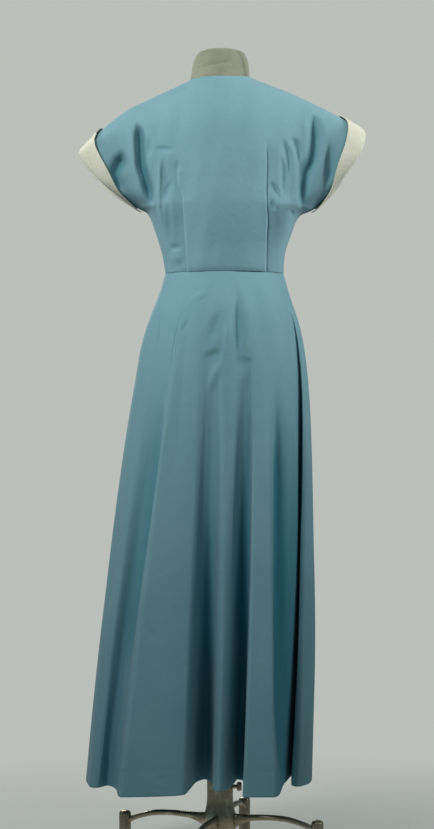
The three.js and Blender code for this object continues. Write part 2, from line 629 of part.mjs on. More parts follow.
// Arched iron leg from the hub to a foot
const LEG_WIDTH = 13;
const LEG_ARCH = [
  { out: 0, z: 80, height: 30 },
  { out: 0.09, z: 84, height: 20 },
  { out: 0.22, z: 88, height: 13 },
  { out: 0.45, z: 90, height: 11 },
  { out: 0.68, z: 88, height: 11 },
  { out: 0.88, z: 80, height: 11 },
  { out: 1, z: 72, height: 13 },
];

function leg(name) {
  const inner = HUB_RADIUS + SEAM_GAP;
  const outer = FOOT_CIRCLE - FOOT_RADIUS - SEAM_GAP;
  const steps = 12;
  const sides = 10;
  const points = [];
  const triangles = [];
  for (let i = 0; i <= steps; i += 1) {
    const stop = (i / steps) * (LEG_ARCH.length - 1);
    const x = inner + (outer - inner) * column(LEG_ARCH, "out", stop);
    const z = column(LEG_ARCH, "z", stop);
    const halfHeight = column(LEG_ARCH, "height", stop) / 2;
    for (let j = 0; j < sides; j += 1) {
      const angle = (j / sides) * 2 * Math.PI;
      points.push(new THREE.Vector3(x, LEG_WIDTH / 2 * Math.cos(angle), z + halfHeight * Math.sin(angle)));
    }
  }
  for (let i = 0; i < steps; i += 1) {
    for (let j = 0; j < sides; j += 1) {
      const a = i * sides + j;
      const b = i * sides + (j + 1) % sides;
      triangles.push([a, b, b + sides], [a, b + sides, a + sides]);
    }
  }
  for (let j = 1; j < sides - 1; j += 1) {
    const end = steps * sides;
    triangles.push([0, j + 1, j], [end, end + j, end + j + 1]);
  }
  return meshOf(name, points, triangles, standIron);
}

const FOOT_TOP_Z = 90;
const GLIDE_RADIUS = 15;

// Upright foot at the leg's end, with a wider glide on the floor
function foot(name) {
  return turned(name, [
    [0, 0], [GLIDE_RADIUS - 1, 0], [GLIDE_RADIUS, 1], [GLIDE_RADIUS, 6], [FOOT_RADIUS, 11],
    [FOOT_RADIUS, FOOT_TOP_Z - 6], [FOOT_RADIUS - 4, FOOT_TOP_Z - 1], [0, FOOT_TOP_Z],
  ], 20, FOOT_CIRCLE, 0);
}

const SCREW_Z = 147;
const SCREW_RADIUS = 4;
const KNOB_RADIUS = 8.5;

// Thumbscrew on the wearer's right of the tube, which clamps the pole
function clampScrew() {
  const start = SOCKET_RADIUS + SEAM_GAP;
  const mesh = turned("clamp_screw", [
    [0, start], [SCREW_RADIUS, start], [SCREW_RADIUS, start + 7], [KNOB_RADIUS, start + 8],
    [KNOB_RADIUS, start + 15], [KNOB_RADIUS - 1.5, start + 17], [0, start + 17],
  ], 16, 0, 0);
  mesh.rotation.set(0, 0, Math.PI / 2);
  mesh.position.set(POLE_X, 0, SCREW_Z);
  return mesh;
}

const dress = new THREE.Group();
dress.add(backPanel());
dress.add(frontPanel("bodice_front_left", 1));
dress.add(frontPanel("bodice_front_right", -1));
dress.add(cuff("cuff_left", 1));
dress.add(cuff("cuff_right", -1));
BUTTON_HEIGHTS.forEach((height, index) => dress.add(button(`button_${index + 1}`, height)));
dress.add(skirtPanel("skirt_back", 0, RIGHT_SEAM_FOLD, 44, 9));
dress.add(skirtPanel("skirt_front", RIGHT_SEAM_FOLD, SKIRT_FOLDS.length, 40, 9));

const stand = new THREE.Group();
stand.add(formBody(40));
stand.add(formPlate());
stand.add(pole());
stand.add(socket());
stand.add(clampScrew());
for (let i = 0; i < LEG_COUNT; i += 1) {
  const arm = new THREE.Group();
  arm.position.set(POLE_X, 0, 0);
  arm.rotation.z = THREE.MathUtils.degToRad(FIRST_LEG_ANGLE + (i * 360) / LEG_COUNT);
  arm.add(leg(`stand_leg_${i + 1}`));
  arm.add(foot(`stand_foot_${i + 1}`));
  stand.add(arm);
}

const part = new THREE.Group();
part.add(dress);
part.add(stand);
export default part;
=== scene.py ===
import bmesh
import bpy
import numpy as np
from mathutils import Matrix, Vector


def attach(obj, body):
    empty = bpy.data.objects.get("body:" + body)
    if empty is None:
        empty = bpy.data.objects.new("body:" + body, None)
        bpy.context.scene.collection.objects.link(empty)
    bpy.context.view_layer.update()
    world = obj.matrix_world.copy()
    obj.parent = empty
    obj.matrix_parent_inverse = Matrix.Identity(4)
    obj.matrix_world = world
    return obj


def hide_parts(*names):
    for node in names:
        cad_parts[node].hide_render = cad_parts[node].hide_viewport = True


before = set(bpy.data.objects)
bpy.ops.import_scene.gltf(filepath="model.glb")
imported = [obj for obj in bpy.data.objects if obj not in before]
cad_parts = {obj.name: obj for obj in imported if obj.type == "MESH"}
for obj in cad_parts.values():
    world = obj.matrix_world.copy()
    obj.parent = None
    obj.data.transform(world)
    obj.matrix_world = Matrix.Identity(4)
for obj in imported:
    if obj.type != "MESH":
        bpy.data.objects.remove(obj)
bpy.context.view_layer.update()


# Studio
# A plain pale floor that fades into an even pale surround. Round soft lights stand behind the dress, on
# both sides of it and before it, and the camera looks level at its back from four metres.
FLOOR_RADIUS = 4.0
FLOOR_CORNERS = 96
FLOOR_COLOUR = (0.66, 0.68, 0.645, 1)
FLOOR_FADE_FROM = 0.25
FLOOR_FADE_TO = 1.3
FLOOR_GLOW = 0.16
SURROUND_SEEN = (0.50, 0.525, 0.49, 1)
SURROUND_FILL = (0.066, 0.098, 0.106, 1)
LIGHT_COLOUR = (1.0, 0.98, 0.94)
# Soft lights: place, point aimed at, width, beam in degrees, power
LIGHTS = {
    "key_light": ((1.9, 2.5, 3.0), (0.0, 0.0, 1.66), 1.2, 61, 12.7),
    "right_light": ((-1.9, 2.2, 2.8), (0.0, 0.0, 1.58), 1.2, 58, 2.5),
    "side_light_left": ((2.8, 0.1, 2.2), (0.0, 0.0, 1.5), 1.2, 50, 3.0),
    "side_light_right": ((-2.8, 0.1, 2.2), (0.0, 0.0, 1.5), 1.2, 46, 6.2),
    "front_light": ((0.9, -3.3, 2.5), (0.0, 0.0, 1.3), 1.6, 80, 13.0),
}
CAMERA_PLACE = (0.012, 4.0, 0.891)
CAMERA_TURN = (np.pi / 2, 0, np.pi)
CAMERA_LENS = 86.85


def feed(tree, node, inputs):
    """Each named input of a node set to its value, or joined to another node's socket."""
    for socket, value in inputs.items():
        if isinstance(value, bpy.types.NodeSocket):
            tree.links.new(value, node.inputs[socket])
        else:
            node.inputs[socket].default_value = value


def add_node(tree, kind, inputs=None, **settings):
    """A node with its settings and its inputs."""
    node = tree.nodes.new(kind)
    for name, value in settings.items():
        setattr(node, name, value)
    feed(tree, node, inputs or {})
    return node


def mixed(tree, share, first, second):
    """Colour that goes from the first to the second with the share."""
    return add_node(tree, "ShaderNodeMix", {0: share, 6: first, 7: second}, data_type="RGBA").outputs[2]


def spread(tree, value, low, high, to_low=0.0, to_high=1.0):
    """Value moved from the range low to high into another range, and held at its ends."""
    return add_node(tree, "ShaderNodeMapRange", {0: value, 1: low, 2: high, 3: to_low, 4: to_high}).outputs[0]


def start_material(name, constants):
    """A material with only its Principled shader, whose named sockets hold the constants."""
    material = bpy.data.materials.new(name)
    material.use_nodes = True
    shader = material.node_tree.nodes["Principled BSDF"]
    feed(material.node_tree, shader, constants)
    return material, material.node_tree, shader


def add_object(name, data):
    """An object that shows the data, put into the scene."""
    thing = bpy.data.objects.new(name, data)
    bpy.context.scene.collection.objects.link(thing)
    return thing


def full_turn(count):
    """Equally spaced angles round a whole turn."""
    return np.linspace(0, 2 * np.pi, count, endpoint=False)


turn = full_turn(FLOOR_CORNERS)
rim = np.column_stack([np.cos(turn), np.sin(turn), 0 * turn]) * FLOOR_RADIUS
floor_mesh = bpy.data.meshes.new("floor")
floor_mesh.from_pydata(rim.tolist(), [], [list(range(FLOOR_CORNERS))])
floor = add_object("floor", floor_mesh)
floor_paint, tree, shader = start_material("floor_paint", {
    "Base Color": FLOOR_COLOUR, "Roughness": 0.9, "Specular IOR Level": 0.1,
    "Emission Color": FLOOR_COLOUR, "Emission Strength": FLOOR_GLOW})
place = add_node(tree, "ShaderNodeTexCoord").outputs["Object"]
from_middle = add_node(tree, "ShaderNodeVectorMath", {0: place}, operation="LENGTH").outputs["Value"]
feed(tree, shader, {"Alpha": spread(tree, from_middle, FLOOR_FADE_FROM, FLOOR_FADE_TO, 1.0, 0.0)})
floor_mesh.materials.append(floor_paint)

surround = bpy.data.worlds.new("surround")
surround.use_nodes = True
tree = surround.node_tree
seen = add_node(tree, "ShaderNodeLightPath").outputs["Is Camera Ray"]
feed(tree, tree.nodes["Background"], {"Color": mixed(tree, seen, SURROUND_FILL, SURROUND_SEEN)})
bpy.context.scene.world = surround
bpy.context.scene.view_settings.view_transform = "Standard"

for name, (light_place, aim, size, beam, power) in LIGHTS.items():
    light_data = bpy.data.lights.new(name, "AREA")
    light_data.shape = "DISK"
    light_data.size = size
    light_data.spread = np.radians(beam)
    light_data.energy = power
    light_data.color = LIGHT_COLOUR
    light = add_object(name, light_data)
    light.location = light_place
    light.rotation_euler = (Vector(aim) - Vector(light_place)).to_track_quat("-Z", "Y").to_euler()

camera_data = bpy.data.cameras.new("camera")
camera_data.lens = CAMERA_LENS
camera = add_object("camera", camera_data)
camera.location = CAMERA_PLACE
camera.rotation_euler = CAMERA_TURN
bpy.context.scene.camera = camera


# Stand base
# A cast-iron hub with a turned tube, four arched legs riveted to it and four upright feet with wider
# glides. All of it is iron under an old brown-grey lacquer that has worn through to the metal.
MM = 0.001
HUB_PROFILE = [
    (0, 56), (20, 56), (24, 56.4), (30, 60), (32, 65), (32, 88), (31.4, 93), (30, 98), (28, 105),
    (27, 112), (26.2, 119), (26, 126), (26, 180), (26.9, 181), (26.9, 185.5), (25.6, 187.6), (24, 188),
    (16.6, 188), (16.3, 187.6), (16.3, 70), (0, 70),
]
FOOT_PROFILE = [
    (0, 0), (13.6, 0), (14.8, 0.6), (15, 1.6), (15, 5.2), (14.4, 6.6), (12.6, 9.4), (12, 12), (12, 82),
    (11.4, 85.4), (9.4, 88.2), (6, 89.7), (0, 90),
]
LEG_ARCH_OUT = [0, 0.09, 0.22, 0.45, 0.68, 0.88, 1]
LEG_ARCH_Z = [80, 84, 88, 90, 88, 80, 72]
LEG_ARCH_HEIGHT = [30, 20, 13, 11, 11, 11, 13]
LEG_START = 30.0
LEG_END = 189.0
LEG_WIDTH = 13.0
LEG_ROUNDING = 0.8
LEG_ANGLES = np.radians([-15, 75, 165, 255])
FOOT_CIRCLE = 199.0
POLE_X = 6.0
SCREW_Z = 147.0
SCREW_PROFILE = [
    (0, 25.4), (4, 25.4), (4, 33), (5.2, 33.6), (7.6, 34.3), (8.5, 35.4), (8.5, 41), (7.8, 42.6),
    (6, 43.3), (0, 43.3),
]
SCREW_SEGMENTS = 40
KNURL_FROM = 34.0
KNURL_TO = 42.7
KNURL_RIDGES = 20
KNURL_DEPTH = 0.35
SHARP_EDGE = np.radians(38)
LACQUER_DARK = (0.34, 0.275, 0.19, 1)
LACQUER_LIGHT = (0.50, 0.42, 0.30, 1)
BARE_IRON = (0.68, 0.61, 0.50, 1)


def cubic(share, start, end, slope_in, slope_out):
    """Curve of the third degree from start to end as the share goes from 0 to 1, with a slope at each."""
    square, cube = share**2, share**3
    return ((2 * cube - 3 * square + 1) * start + (cube - 2 * square + share) * slope_in
            + (3 * square - 2 * cube) * end + (cube - square) * slope_out)


def smooth_column(values, rows):
    """Smooth curve through equally spaced values, read at fractional row numbers: between two values
    a cubic whose slope at each is half the difference of its neighbours. The ends run on straight."""
    values = np.asarray(values, float)
    ends = 2 * values[0] - values[1], 2 * values[-1] - values[-2]
    padded = np.concatenate([ends[:1], values, ends[1:]])
    index = np.clip(np.floor(rows).astype(int), 0, len(values) - 2)
    share = rows - index
    before, start, end, after = (padded[index + step] for step in range(4))
    return cubic(share, start, end, (end - before) / 2, (after - start) / 2)


def grid_piece(name, points, material, ring=False, flip=False, sharp_angle=None, hollow=None):
    """A piece whose corners are a grid of points in millimetres, with a four-sided face between each
    two rows and two columns. A ring also joins its last column to its first. The UV map holds the
    lengths in metres along the rows and along the columns, and an optional point attribute holds each
    corner's share of painted shade, from 0 to 1, by how deep in a fold it lies. Corners that coincide
    are merged."""
    rows, columns = points.shape[:2]
    if ring:
        points = np.concatenate([points, points[:, :1]], axis=1)
    steps_u = np.linalg.norm(np.diff(points, axis=1), axis=2)
    steps_v = np.linalg.norm(np.diff(points, axis=0), axis=2)
    along_u = np.pad(np.cumsum(steps_u, axis=1), ((0, 0), (1, 0)))
    along_v = np.pad(np.cumsum(steps_v, axis=0), ((1, 0), (0, 0)))
    along_u -= along_u[:, -1:] / 2
    uv = np.stack([along_u, along_v], axis=2).reshape(-1, 2) * MM
    width = points.shape[1]
    corner = np.arange(rows * width).reshape(rows, width)
    quads = np.stack([corner[:-1, :-1], corner[1:, :-1], corner[1:, 1:], corner[:-1, 1:]], axis=2)
    quads = quads.reshape(-1, 4)
    if flip:
        quads = quads[:, ::-1]
    on_ring = (corner // width) * columns + (corner % width) % columns
    vertices = points[:, :columns].reshape(-1, 3) * MM
    mesh = bpy.data.meshes.new(name)
    mesh.from_pydata(vertices, [], on_ring.reshape(-1)[quads].tolist())
    layer = mesh.uv_layers.new(name="cloth_map")
    layer.data.foreach_set("uv", uv[quads.reshape(-1)].astype(np.float32).ravel())
    mesh.polygons.foreach_set("use_smooth", np.ones(len(quads), bool))
    if hollow is not None:
        depths = mesh.attributes.new("hollow", "FLOAT", "POINT")
        depths.data.foreach_set("value", hollow.astype(np.float32).ravel())
    work = bmesh.new()
    work.from_mesh(mesh)
    bmesh.ops.remove_doubles(work, verts=work.verts, dist=1e-6)
    work.to_mesh(mesh)
    work.free()
    if sharp_angle is not None:
        mesh.set_sharp_from_angle(angle=sharp_angle)
    mesh.materials.append(material)
    return add_object(name, mesh)


def turned_points(profile, x, y, segments):
    """Rings of points about an upright axis at (x, y), one for each (radius, height) of a profile."""
    radius, height = np.array(profile, float).T
    angle = full_turn(segments)
    return np.stack([x + np.outer(radius, np.cos(angle)), y + np.outer(radius, np.sin(angle)),
                     np.outer(height, np.ones(segments))], axis=2)


def closed_ends(rings):
    """Rings of points with one more ring at each end, drawn together to the end ring's middle."""
    ends = rings[[0, -1]].mean(axis=1, keepdims=True) * np.ones((1, rings.shape[1], 1))
    return np.concatenate([ends[:1], rings, ends[1:]])


def noise_node(tree, place, scale, detail, **more):
    """Cloudy noise from 0 to 1: a sum of random bumps, each next layer twice as fine and weaker."""
    inputs = {"Vector": place, "Scale": scale, "Detail": detail, **more}
    return add_node(tree, "ShaderNodeTexNoise", inputs).outputs[0]


lacquered_iron, tree, shader = start_material("lacquered_iron", {"Specular IOR Level": 0.5})
place = add_node(tree, "ShaderNodeTexCoord").outputs["Object"]
patches = noise_node(tree, place, 34.0, 5.0)
scratches = noise_node(tree, place, 240.0, 3.0)
worn = spread(tree, patches, 0.54, 0.66)
lacquer = mixed(tree, scratches, LACQUER_DARK, LACQUER_LIGHT)
iron_bump = add_node(tree, "ShaderNodeBump", {"Height": patches, "Strength": 0.5, "Distance": 0.0008})
feed(tree, shader, {
    "Base Color": mixed(tree, worn, lacquer, BARE_IRON),
    "Metallic": spread(tree, worn, 0, 1, 0.75, 1.0),
    "Roughness": spread(tree, scratches, 0.3, 0.7, 0.22, 0.42),
    "Normal": iron_bump.outputs[0],
})


def iron_piece(name, points, flip=True):
    """Rings of points made a piece of the lacquered iron, with its sharp edges kept sharp."""
    return grid_piece(name, points, lacquered_iron, ring=True, flip=flip, sharp_angle=SHARP_EDGE)


hub = iron_piece("stand_hub", turned_points(HUB_PROFILE, POLE_X, 0, 96))
screw_rings = turned_points(SCREW_PROFILE, 0, 0, SCREW_SEGMENTS)
screw_reach = screw_rings[:, :, 2]
knurled = (screw_reach > KNURL_FROM) & (screw_reach < KNURL_TO)
knurl = np.where(knurled, KNURL_DEPTH * np.cos(KNURL_RIDGES * full_turn(SCREW_SEGMENTS)), 0)
screw_radius = np.hypot(screw_rings[:, :, 0], screw_rings[:, :, 1])
screw_swell = 1 + knurl / np.maximum(screw_radius, 1)
screw_points = np.stack([POLE_X - screw_reach, screw_rings[:, :, 0] * screw_swell,
                         SCREW_Z + screw_rings[:, :, 1] * screw_swell], axis=2)
screw = iron_piece("stand_thumbscrew", screw_points, flip=False)
stand_pieces = [(hub, "stand_socket"), (screw, "clamp_screw")]

leg_rows = np.linspace(0, len(LEG_ARCH_OUT) - 1, 61)
leg_angle = full_turn(28)
leg_x = LEG_START + (LEG_END - LEG_START) * smooth_column(LEG_ARCH_OUT, leg_rows)
leg_z = smooth_column(LEG_ARCH_Z, leg_rows)
leg_half = smooth_column(LEG_ARCH_HEIGHT, leg_rows) / 2
leg_side = np.sign(np.cos(leg_angle)) * np.abs(np.cos(leg_angle)) ** LEG_ROUNDING * LEG_WIDTH / 2
leg_section = closed_ends(np.stack([
    np.repeat(leg_x[:, None], len(leg_angle), axis=1),
    np.outer(np.ones(len(leg_rows)), leg_side),
    leg_z[:, None] + np.outer(leg_half, np.sin(leg_angle)),
], axis=2))
foot_section = turned_points(FOOT_PROFILE, FOOT_CIRCLE, 0, 56)
for number, angle in enumerate(LEG_ANGLES, 1):
    spin = np.array([[np.cos(angle), np.sin(angle), 0], [-np.sin(angle), np.cos(angle), 0], [0, 0, 1]])
    shift = np.array([POLE_X, 0, 0])
    leg = iron_piece(f"stand_arched_leg_{number}", leg_section @ spin + shift)
    foot = iron_piece(f"stand_upright_foot_{number}", foot_section @ spin + shift)
    stand_pieces += [(leg, f"stand_leg_{number}"), (foot, f"stand_foot_{number}")]
for piece, node in stand_pieces:
    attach(piece, "stand_base")
    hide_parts(node)


# Pole and plate
# The steel pole that slides in the hub's tube, and the round plate on its top end, screwed to the
# underside of the form. Both have the same worn lacquer as the base.
POLE_PROFILE = [(0, 66), (15, 66), (16, 67), (16, 948.7), (15.4, 949.7), (0, 949.7)]
PLATE_PROFILE = [
    (0, 950), (52.4, 950), (54.2, 950.7), (55, 952.4), (55, 956.4), (54.4, 957.4), (53, 957.7), (0, 957.7),
]
pole = iron_piece("stand_sliding_pole", turned_points(POLE_PROFILE, POLE_X, 0, 64))
plate = iron_piece("stand_top_plate", turned_points(PLATE_PROFILE, POLE_X, 0, 96))
for piece, node in [(pole, "stand_pole"), (plate, "form_plate")]:
    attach(piece, "dressed_form")
    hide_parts(node)


# Dress form
# A limbless torso with a tapering neck, padded and covered in undyed linen. The cover of the neck is
# one strip wrapped round it, with its loose end lapped over on the wearer's right of the back.
def table(columns, rows):
    """Columns of numbers by their names, from a list of rows."""
    return dict(zip(columns.split(), np.array(rows, float).T))


def table_at(columns, rows):
    """Every column of a table, read as a smooth curve at fractional row numbers."""
    return {name: smooth_column(column, rows) for name, column in columns.items()}


FORM_RINGS = table("z x half back front", [
    (958, -2, 150, 106, 106), (964, -2, 155, 111, 111), (1000, -2, 157, 114, 114), (1040, -2, 153, 112, 112),
    (1090, -2, 139, 105, 105), (1130, -3, 122, 95, 96), (1172, -3, 110, 83, 88), (1212, -2, 116, 87, 97),
    (1250, -1, 127, 93, 109), (1290, 0, 137, 97, 117), (1330, 0, 141, 97, 117), (1370, 1, 144, 94, 108),
    (1420, 2, 150, 88, 93), (1460, 3, 155, 80, 77), (1488, 4, 156, 71, 65), (1505, 5, 150, 63, 55),
    (1520, 6, 132, 58, 48), (1535, 7, 99, 52.5, 43), (1546, 7, 74.6, 49.8, 42), (1553, 7, 61.6, 49.8, 43),
    (1564, 7, 58, 50, 45), (1586, 6, 55, 48, 43), (1602, 6, 51, 45, 40), (1613, 5, 44, 39, 35),
    (1619, 4, 32, 28, 25),
])
FORM_ROWS_PER_RING = 7
FORM_SEGMENTS = 220
NECK_COVER_Z = 1536.0
NECK_TOP_Z = 1619.0
NECK_RADIUS = 50.0
# The lapped end, in degrees from the wearer's right at its foot and at its head
WRAP_EDGE_LOW = 22.0
WRAP_EDGE_HIGH = 36.0
WRAP_EDGE_Z = 1540.0
WRAP_EDGE_RISE = 70.0
WRAP_EDGE_ROUND = 1.2
WRAP_REACH = 70.0
WRAP_LIFT = 3.6
WRAP_GROOVE = 0.9
# Width and depth of two creases of the neck: one across the back, one up the wearer's left
CROSS_CREASE = (2.6, 1.3)
UP_CREASE = (0.035, 1.6)
WAVE_COUNT = 7
LINEN_DARK = (0.19, 0.208, 0.152, 1)
LINEN_LIGHT = (0.28, 0.302, 0.232, 1)
CLOTH_SHINE = {"Specular IOR Level": 0.25, "Sheen Weight": 0.12, "Sheen Roughness": 0.5}


def eased(value):
    """Step from 0 to 1 that starts and ends level: three squares less two cubes of the held value."""
    share = np.clip(value, 0, 1)
    return share * share * (3 - 2 * share)


def bell(value, width, height=1.0):
    """Bell curve: the height times e to the minus square of the value over the width."""
    return height * np.exp(-((value / width) ** 2))


def waves(first, second, size, height, seed):
    """Sum of sine waves in the plane with random directions and phases and lengths near a size, times a
    third of the height."""
    draw = np.random.default_rng(seed)
    total = np.zeros(np.broadcast(first, second).shape)
    limits = (0, np.pi), (0, 2 * np.pi), (0.6, 1.8)
    for heading, phase, stretch in zip(*(draw.uniform(*ends, WAVE_COUNT) for ends in limits)):
        reach = (first * np.cos(heading) + second * np.sin(heading)) * 2 * np.pi / (size * stretch)
        total += np.sin(reach + phase)
    return total * height / 3


ring_count = len(FORM_RINGS["z"])
form_rows = np.linspace(0, ring_count - 1, (ring_count - 1) * FORM_ROWS_PER_RING + 1)[:, None]
form_turn = full_turn(FORM_SEGMENTS)[None, :]
form_ring = table_at(FORM_RINGS, form_rows)
form_z, form_half = form_ring["z"], form_ring["half"]
form_depth = np.where(np.sin(form_turn) >= 0, form_ring["back"], form_ring["front"])
neck_share = eased((form_z - NECK_COVER_Z) / 12) * eased((NECK_TOP_Z - form_z) / 5)
wrap_degrees = WRAP_EDGE_LOW + (WRAP_EDGE_HIGH - WRAP_EDGE_LOW) * (form_z - WRAP_EDGE_Z) / WRAP_EDGE_RISE
wrap_edge = np.pi - np.radians(wrap_degrees)
from_edge = (form_turn - wrap_edge) * form_half
wrap_lift = WRAP_LIFT * eased((from_edge + WRAP_EDGE_ROUND) / WRAP_EDGE_ROUND)
wrap_lift = wrap_lift * eased((WRAP_REACH - from_edge) / WRAP_REACH)
cross_crease = bell(form_z - 1592 - 0.12 * from_edge, *CROSS_CREASE)
up_crease = bell(form_turn - 0.62 - (form_z - 1560) * 0.004, *UP_CREASE)
neck_creases = (-cross_crease * eased((np.pi / 2 + 0.5 - form_turn) / 0.3) - up_crease
                + waves(form_turn * NECK_RADIUS, form_z, 24, 0.5, 4))
form_swell = neck_share * (wrap_lift + neck_creases - bell(from_edge + 2.2, 1.0, WRAP_GROOVE))
form_points = closed_ends(np.stack([
    form_ring["x"] + (form_half + form_swell) * np.cos(form_turn),
    (form_depth + form_swell) * np.sin(form_turn),
    form_z + 0 * form_turn,
], axis=2))


def start_group(name, inputs, outputs):
    """An empty shader node group with named sockets, what it is given and the node that puts out."""
    group = bpy.data.node_groups.new(name, "ShaderNodeTree")
    for way, sockets in (("INPUT", inputs), ("OUTPUT", outputs)):
        for label, kind in sockets.items():
            group.interface.new_socket(label, in_out=way, socket_type=f"NodeSocket{kind}")
    return group, add_node(group, "NodeGroupInput").outputs, add_node(group, "NodeGroupOutput")


def math_node(tree, operation, first, second):
    """The quotient, product, sum or greater of two values, as the operation says."""
    return add_node(tree, "ShaderNodeMath", {0: first, 1: second}, operation=operation).outputs[0]


# Plain weave: two sets of uneven threads, one along each direction of the cloth's own map. The height
# takes the upper thread of the two, and the tone says how dark each thread is.
THREAD_CHANGE = 0.06  # how fast a thread's thickness changes along it, against across it
weave, given, put_out = start_group("plain_weave", {"Map": "Vector", "Thread": "Float"},
                                    {"Height": "Float", "Tone": "Float"})
flat_map = add_node(weave, "ShaderNodeSeparateXYZ", {0: given["Map"]}).outputs
threads = []
for along, across in ((0, 1), (1, 0)):
    count = math_node(weave, "DIVIDE", flat_map[across], given["Thread"])
    run = math_node(weave, "DIVIDE", flat_map[along], given["Thread"])
    slow = math_node(weave, "MULTIPLY", run, THREAD_CHANGE)
    lane = add_node(weave, "ShaderNodeCombineXYZ", {0: count, 1: slow}).outputs[0]
    threads.append(noise_node(weave, lane, 1.0, 1.0))
feed(weave, put_out, {"Height": math_node(weave, "MAXIMUM", *threads),
                      "Tone": spread(weave, math_node(weave, "ADD", *threads), 0.6, 1.4)})

# Age: broad uneven patches, and small soft crumples of cloth that has been folded away.
CRUMPLE_FINENESS = 9.0
age, given, put_out = start_group("cloth_age", {"Place": "Vector", "Size": "Float"},
                                  {"Patches": "Float", "Crumple": "Float"})
broad = noise_node(age, given["Place"], given["Size"], 4.0)
fine_scale = math_node(age, "MULTIPLY", given["Size"], CRUMPLE_FINENESS)
crumple = noise_node(age, given["Place"], fine_scale, 3.0, Roughness=0.45, Distortion=0.6)
feed(age, put_out, {"Patches": spread(age, broad, 0.32, 0.68), "Crumple": crumple})

TONE_OF_THREADS = 0.45


def cloth_material(name, dark, light, shade_tone, thread, patch_size, weave_depth, crumple_depth):
    """Woven cloth: its colour lies between a dark and a light tone by threads and patches, and goes over
    to a darker tone painted into the hollows of its folds as painted shade. Its bump is the weave on
    top of the soft crumples."""
    material, tree, shader = start_material(name, CLOTH_SHINE)
    where = add_node(tree, "ShaderNodeTexCoord").outputs
    woven = add_node(tree, "ShaderNodeGroup", {"Map": where["UV"], "Thread": thread}, node_tree=weave)
    aged = add_node(tree, "ShaderNodeGroup", {"Place": where["Object"], "Size": patch_size}, node_tree=age)
    by_thread = math_node(tree, "MULTIPLY", woven.outputs["Tone"], TONE_OF_THREADS)
    by_patch = math_node(tree, "MULTIPLY", aged.outputs["Patches"], 1 - TONE_OF_THREADS)
    # Painted shade: each corner's share turns the colour towards the darker shade tone, most in deep fold
    # hollows.
    hollow = add_node(tree, "ShaderNodeAttribute", attribute_name="hollow").outputs["Fac"]
    faded = mixed(tree, math_node(tree, "ADD", by_thread, by_patch), dark, light)
    soft = add_node(tree, "ShaderNodeBump", {"Height": aged.outputs["Crumple"], "Strength": 1.0,
                                             "Distance": crumple_depth})
    fine = add_node(tree, "ShaderNodeBump", {"Height": woven.outputs["Height"], "Strength": 1.0,
                                             "Distance": weave_depth, "Normal": soft.outputs[0]})
    feed(tree, shader, {
        "Base Color": mixed(tree, hollow, faded, shade_tone),
        "Roughness": spread(tree, woven.outputs["Tone"], 0, 1, 0.92, 0.78),
        "Normal": fine.outputs[0],
    })
    return material


form_linen = cloth_material("form_linen", LINEN_DARK, LINEN_LIGHT, LINEN_DARK, thread=0.0011, patch_size=11.0,
                            weave_depth=0.00030, crumple_depth=0.0016)
form = grid_piece("form_covered_torso", form_points, form_linen, ring=True, flip=True)
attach(form, "dressed_form")
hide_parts("form_body")


# Bodice back
# Pale blue cotton, cut in one with the backs of both sleeves. Two stitched tucks rise from the waist,
# the middle lies over the sides, and the cloth hangs in deep folds from each shoulder to the underarm.
WAIST_Z = 1172.0
NECK_BACK_DEPTH = 56.0
NECK_FRONT_DEPTH = 80.0
NECK_FRONT_DROP = 62.0
NECK_FRONT_POWER = 2.4
NECK_SHARE = 0.244
SHOULDER_ROUND_ROWS = 2.6
BLUR_WIDTH = 0.075
SIDE_POWER_BACK = 2.2
SIDE_POWER_FRONT = 2.7
UNDERARM_ROW = 3
SLEEVE_SEAM_ROW = 4
SHOULDER_ROW = 9
CLOTH_THICKNESS = 0.0011
SECTIONS = table("left_x left_z right_x right_z mid_x mid_z back front gape sleeve", [
    (115, 1172, 121, 1172, -3, 1172, 88, 94, 0, 0), (122, 1212, 124, 1212, -2, 1212, 95, 104, 0, 0),
    (135, 1254, 137, 1252, -1, 1254, 102, 118, 0, 0), (150, 1291, 153, 1287, 0, 1292, 107, 127, 0, 0),
    (171, 1304, 184, 1303, 1, 1318, 109, 128, 0, 0.1), (206, 1327, 214, 1331, 2, 1348, 109, 125, 26, 0.4),
    (245, 1358, 243, 1370, 4, 1400, 107, 116, 46, 0.75), (280, 1402, 270, 1410, 6, 1470, 97, 102, 54, 1),
    (274, 1420, 278, 1447, 8, 1522, 84, 90, 56, 1), (260, 1438, 260, 1468, 8, 1559, 72, 82, 56, 1),
])
NAPE_Z = SECTIONS["mid_z"][SHOULDER_ROW]
SHOULDER_SHARE = [NECK_SHARE, 0.4, 0.55, 0.7, 0.85, 1]
SHOULDER_LEFT = [1557, 1539, 1521, 1503, 1476, 1438]
SHOULDER_RIGHT = [1563, 1547, 1531, 1512, 1492, 1468]
